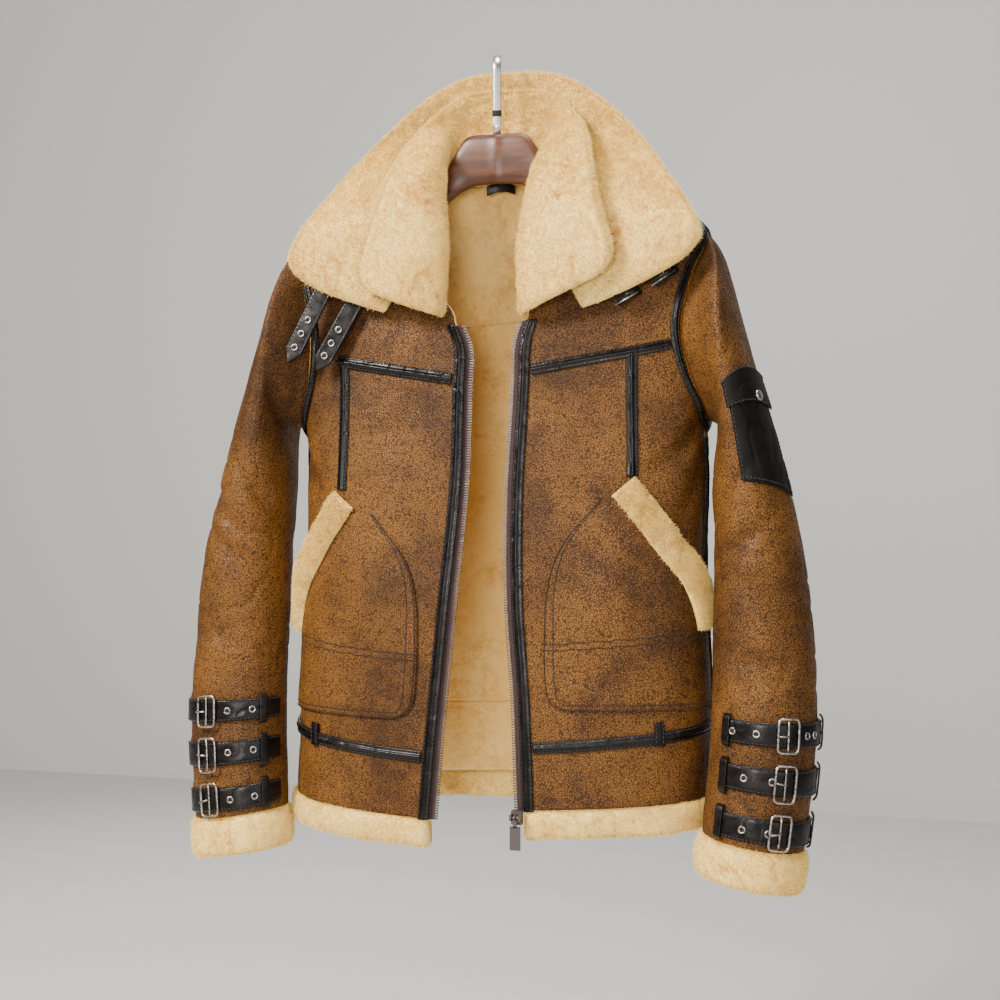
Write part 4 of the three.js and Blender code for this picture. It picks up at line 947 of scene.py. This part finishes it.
POCKET_WIDE, POCKET_LONG, STUD_ROW, STUD_COLUMN = 95, 160, 72, 46
for name, grow, top, low, height, thick, flat in (
        ("sleeve_pocket", 0, 0.1, 1, 1.8, 1.6, (0.062, 0.12)),
        ("sleeve_pocket_flap", 4, 0, 0.3, 3.7, 1.9, (0.068, 0.04))):
    u, v = grid(0, 1, 70, 0, 1, 90)
    s = mixed(mixed(2.15, 2.95, u), mixed(4.55, 5.05, u), mixed(top, low, v))
    p, n = round_sleeve(mixed(88 + grow, 10 - grow, u), s, 1)
    from_side, from_end = np.minimum(u, 1 - u) * POCKET_WIDE, np.minimum(v, 1 - v) * POCKET_LONG * (low - top)
    inset = np.minimum(from_side, from_end)
    rise = thick * (0.55 + 0.45 * smooth(0, 2.5, inset)) + 0.3 * noise(p, 9, 5)
    outer = p + n * (height + rise)[..., None]
    o = shell(name, outer, p + n * height, pocket_black)
    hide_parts(name)
    for row in (outer[3], outer[-4]):
        stitch(threads, row, n[3], 0.1)
    for column in (outer[:, 3], outer[:, -4]):
        stitch(threads, column, n[:, 3], 0.1)
stud_at, stud_up = outer[STUD_ROW, STUD_COLUMN], n[STUD_ROW, STUD_COLUMN]

# Cuff straps: three a side, each through leather keepers to a roller buckle.
# Eyelets of nickel are set in their ends, and a dark disc of painted shade fills the hole in each.
nickel = Paint("nickel", metallic=1.0, roughness=0.28)
nickel.set(
    Base_Color=nickel.mix(nickel.ramp(nickel.noise(5, 3), 0.4, 0.7), (0.4, 0.38, 0.35), (0.22, 0.2, 0.185)),
    Roughness=nickel.ramp(nickel.noise(3, 3), 0.3, 0.7, 0.2, 0.42))
# Its black is the hook ferrule's own colour, and painted shade in the eyelets' holes.
ferrule_and_hole_shade = Paint("ferrule_and_hole_shade", base_color=(0.006, 0.005, 0.005, 1), roughness=0.8)
metal, hole_shades = Heap(), Heap()


def circle(middle, n, radius, count):
    """Points round a middle, in the plane that n stands on."""
    a = unit(np.cross(n, [0, 0, 1.0]))
    t = around(count)[:, None]
    return middle + radius * (np.cos(t) * a + np.sin(t) * np.cross(a, n))


def eyelet(middle, n, radius=4.1):
    metal.tube(circle(middle + n * 0.5, n, radius - 1.1, 24), 1.05, 10, True)
    # A dark disc in the hole is painted shade.
    shade_disc = circle(middle, n, radius - 1.3, 16)
    hole_shades.loft(np.stack([shade_disc + n * 0.1, shade_disc + n * 0.45]), False)


STRAP_HALF, STRAP_THICK, STRAP_LIFT, STRAP_ROWS, KEEPER_HALF = 12.5, 2.4, 1.4, 150, 18
CUFF_STRAPS = (8.33, 9.02, 9.67)
EYELETS = {-1: [(127.5, 100)] * 3, 1: [(117, 90, 34, 22), (100, 72), (97, 69)]}
STRAP_RANGE, KEEPERS = {-1: (-96, 164), 1: (-112, 127.5)}, {-1: (135.5, 144), 1: (119.5, 128)}
BUCKLE_AT, BUCKLE_WIDE, BUCKLE_HALF, WIRE = {-1: 74, 1: 58}, 11, 17.5, 1.35


def buckle(side, s0, name):
    """A rounded frame of wire with a bar and a prong, bent to the sleeve."""
    phi = BUCKLE_AT[side] + BUCKLE_WIDE * np.array([-1, -1, -1, 0, 1, 1, 1, 0.0])
    s = s0 + BUCKLE_HALF / SLEEVE_STEP * np.array([-1, 0, 1, 1, 1, 0, -1, -1.0])
    p = sleeve(side, phi, s)
    out = unit((p - sleeve_centre(side, s)) * [1, 1, 0])
    corners = p + out * (STRAP_THICK + 3.4)
    after = np.roll(corners, -1, 0)
    fine = np.stack([mixed(corners, after, w) for w in (0, 0.25, 0.5, 0.75)], 1).reshape(-1, 3)
    for _ in range(2):
        fine = (np.roll(fine, 1, 0) + 2 * fine + np.roll(fine, -1, 0)) / 4
    heap = Heap()
    heap.tube(fine, WIRE, 12, True)
    heap.tube(np.linspace(corners[3] - out[3], corners[7] - out[7], 6), 1.1, 10)
    tip = corners[1 if side < 0 else 5] + out[1] * 1.2
    prong = np.linspace((corners[3] + corners[7]) / 2, tip, 8)
    prong += out[3] * (1.6 + 1.4 * np.sin(np.linspace(0, np.pi, 8)))[:, None]
    heap.tube(prong, 0.95, 10)
    o = heap.make(name, nickel)
    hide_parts(name)


for name, side in SIDES:
    start, end = STRAP_RANGE[side]
    for i, s0 in enumerate(CUFF_STRAPS):
        u, v = grid(start, end, STRAP_ROWS, -1, 1, 15)
        p, n = round_sleeve(u, s0 - STRAP_HALF / SLEEVE_STEP * v, side)
        rise = STRAP_THICK * (1 - 0.45 * np.abs(v) ** 8) + 0.25 * noise(p, 8, 6)
        outer = p + n * (STRAP_LIFT + rise)[..., None]
        walls = [(outer, p + n * STRAP_LIFT)]
        sewn(outer, n, 1.9)
        for a, b in (KEEPERS[side], (-9, 0)):
            ku, kv = grid(a, b, 10, -1, 1, 15)
            kp, kn = round_sleeve(ku, s0 - KEEPER_HALF / SLEEVE_STEP * kv, side)
            low = STRAP_LIFT + 2.9 * smooth(0.98, 0.8, np.abs(kv))
            walls.append((kp + kn * (low + 1.9)[..., None], kp + kn * low[..., None]))
        black_piece(f"cuff_strap_{name}_{i + 1}", walls)
        for phi in EYELETS[side][i]:
            k = int(round((STRAP_ROWS - 1) * (phi - start) / (end - start)))
            eyelet(outer[7, k], n[7, k])
        buckle(side, s0, f"cuff_buckle_{name}_{i + 1}")

# Two pointed throat straps hang from under the photo's left collar.
# Each is of black leather, sewn round its edge, with three eyelets.
STRAP_TIP, TIP_ROW = 0.87, 84
for i, (start, end, shares) in enumerate((
        ((-173, -50.4, -238), (-216, -66, -332), (0.52, 0.68, 0.84)),
        ((-137, -52.2, -255), (-184, -62, -341), (0.5, 0.665, 0.83)))):
    down = np.subtract(end, start)
    across = -10 * unit(np.array([-down[2], 0, down[0]]))
    face = -unit(np.cross(down, across))
    u, v = grid(0, 1, 90, -1, 1, 17)
    tip = np.clip(1 - np.clip((u - STRAP_TIP) / (1 - STRAP_TIP), 0, 1) ** 1.15, 0.02, 1)
    p = start + down * u[..., None] + across * (v * tip)[..., None]
    rise = 2.9 - 0.9 * np.abs(v) ** 8 + 0.2 * noise(p, 8, 7)
    back = p - face * 2.6
    outer = back + face * rise[..., None]
    black_piece(f"collar_strap_{i + 1}", [(outer, back)])
    for edge in (2, -3):
        stitch(threads, outer[edge, :TIP_ROW], np.broadcast_to(face, (TIP_ROW, 3)), ON_TOP)
    for share in shares:
        eyelet(outer[8, int(share * 89)] + face * 0.1, face, 4.2)

# Two buckle tabs show under the photo's right collar, where its own throat straps are held.
# Each is a short band of black leather with a bar of nickel along its lower edge.
tabs = Heap()
for start, end in (((144, -60, -281), (167, -57, -268)), ((180, -55, -262), (203, -47, -246))):
    along = np.array([end], float) - start
    long = np.linalg.norm(along)
    middle, face = np.array([start], float) + along / 2, np.array([[0.0, -1, 0]])
    tabs.boxes(middle + [0, 0, 8], along / long, face, (long, 15, 2.4))
    metal.boxes(middle + [0.4, -1.9, 2.6], along / long, face, (long + 1, 1.3, 1.3))
tabs.make("collar_tabs", black)

# The hanger: contoured beech stained mahogany, its shoulders broad and its crown ridged down the middle.
# It lies inside the shoulders and holds the coat.
wood = Paint("varnished_wood", roughness=0.42, coat_weight=0.12, coat_roughness=0.25)
stretched = wood.node("ShaderNodeVectorMath", {"operation": "MULTIPLY"}, wood.place, (0.12, 1, 1))
figure = wood.noise(9, 4, 0.6, 0.6, stretched)
wood.set(
    Base_Color=wood.mix(wood.ramp(figure, 0.35, 0.68), (0.052, 0.0125, 0.002), (0.112, 0.031, 0.005)),
    Roughness=wood.ramp(figure, 0.3, 0.7, 0.38, 0.5))
HANGER_HALF, RIDGE = 206, 1.2
HANGER = Table("x top low depth y", [
    [0, -86, -139, 15, 0], [26, -86, -141, 15, 0], [36, -90, -145, 15, 0], [47, -106, -152, 16, 0],
    [58, -127, -161, 16, 0], [70, -144, -169, 16, 0], [85, -153, -176, 17, -1], [125, -171, -190, 20, -2],
    [180, -193, -208, 20, -2], [HANGER_HALF, -204, -215, 12, -1]])
x = np.linspace(-HANGER_HALF, HANGER_HALF, 161)[:, None]
a = around(28) + np.pi / 28
top, low, depth, y = (HANGER(column, np.abs(x)) for column in ("top", "low", "depth", "y"))
crown = RIDGE * bell(x, 5) * (np.cos(a) < 0)
y = y + np.cos(a) * squircle(a) * depth / 2 - crown
rings = points(x, y, (top + low) / 2 + np.sin(a) * squircle(a) * (top - low) / 2)
heap = Heap()
heap.loft(rings, False)
o = heap.make("hanger", wood)
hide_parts("hanger")

# The hook: a flat steel strip let into the crown, with a dark collar round its stem.
# It is bent round to go over a rail, and turned a little from the coat's front.
steel = Paint("brushed_steel", metallic=1.0, roughness=0.3, base_color=(0.62, 0.6, 0.57, 1))
HOOK_WIDTH, HOOK_THICK, BEND_START, BEND_END = 8.5, 3, 180, -38
STEM, BEND_LOW, FERRULE = (-85.6, -75, -60, -45, -30, -20), -15.5, (-66.5, -66, -60.5, -60)
angles = np.radians(np.linspace(BEND_START, BEND_END, 50))
bend = np.stack([HOOK_RADIUS * (1 + np.cos(angles)), BEND_LOW + HOOK_RADIUS * np.sin(angles)], -1)
path = np.concatenate([[(0, z) for z in STEM], bend])
way = unit(np.gradient(path, axis=0))


def turned(x, y, z):
    return points(x * math.cos(TURN) - y * math.sin(TURN), x * math.sin(TURN) + y * math.cos(TURN), z)


section = [(-1, -0.6), (-0.88, -1), (0.88, -1), (1, -0.6), (1, 0.6), (0.88, 1), (-0.88, 1), (-1, 0.6)]
w, k = (np.array(column) for column in zip(*section))
thick = k * HOOK_THICK / 2
rings = turned(w * HOOK_WIDTH / 2, path[:, :1] - way[:, 1:] * thick, path[:, 1:] + way[:, :1] * thick)
heap = Heap()
heap.loft(rings, False)
o = heap.make("hook", steel)
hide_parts("hook")
collar_ring = Heap()
collar_ring.loft(np.stack([turned(w * 5.1, k * 2.6, z) for z in FERRULE]), False)
collar_ring.make("hook_ferrule", ferrule_and_hole_shade)

# The coat's own hanging loop: a short band of black leather across the back of the neck.
# Its ends are sewn into the neck seam.
LOOP_HALF, LOOP_WIDE, LOOP_Y, LOOP_LOW = 16, 10, 18.3, -145
u, v = grid(-LOOP_HALF, LOOP_HALF, 33, 0, LOOP_WIDE, 9)
front = points(u, LOOP_Y - u * u / 90, LOOP_LOW + v - u * u / 60)
o = shell("hang_loop", front, front + [0, 2, 0], black)
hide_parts("hang_loop")

# The zip's slider at the foot of the photo's right front, and the pull that swings from it.
# Both are cast metal. The slider has a bridge with a pin, and the pull's ring goes round the pin.
SLIDER = np.array([51.2, -104.9, -800])
PIN = SLIDER + [0, -7.6, 1]
heap = Heap()
for offset, size in (((0, -2.2, 0), (11, 2.2, 14)), ((0, 2.2, 0), (11, 2.2, 14)), ((0, 0, 1), (3.2, 4.4, 9)),
                     ((-4.4, -6.5, 1), (2, 8, 6)), ((4.4, -6.5, 1), (2, 8, 6))):
    heap.block(SLIDER + offset, size)
heap.tube(PIN + np.array([[-4.5, 0, 0], [0, 0, 0], [4.5, 0, 0]]), 1.3, 16)
o = heap.make("zip_slider", teeth_metal, flat=True)
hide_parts("zip_slider")
heap = Heap()
t = around(24)
heap.tube(PIN + points(0, 2.6 * np.cos(t), 2.6 * np.sin(t)), 0.85, 10, True)
heap.block(PIN + [0, 0, -6.4], (4, 1.8, 8))
heap.block(PIN + [0, 0, -21], (11, 1.8, 24))
o = heap.make("zip_pull", teeth_metal, body=PULL_NAME, flat=True)
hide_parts("zip_pull")

# The press stud of the sleeve pocket, which is of nickel like the eyelets.
# Then what is small and many becomes three meshes: stitches, eyelets with the stud, and the discs of painted
# shade in the eyelets' holes.
STUD = ((0, 6), (0.9, 6), (1.9, 5), (2.6, 3), (2.8, 0.6))
rings = [circle(stud_at + stud_up * height, stud_up, radius, 24) for height, radius in STUD]
metal.loft(np.stack(rings), False)
threads.make("stitches", thread)
metal.make("eyelets_and_stud", nickel)
hole_shades.make("eyelet_holes", ferrule_and_hole_shade)

bpy.context.view_layer.update()
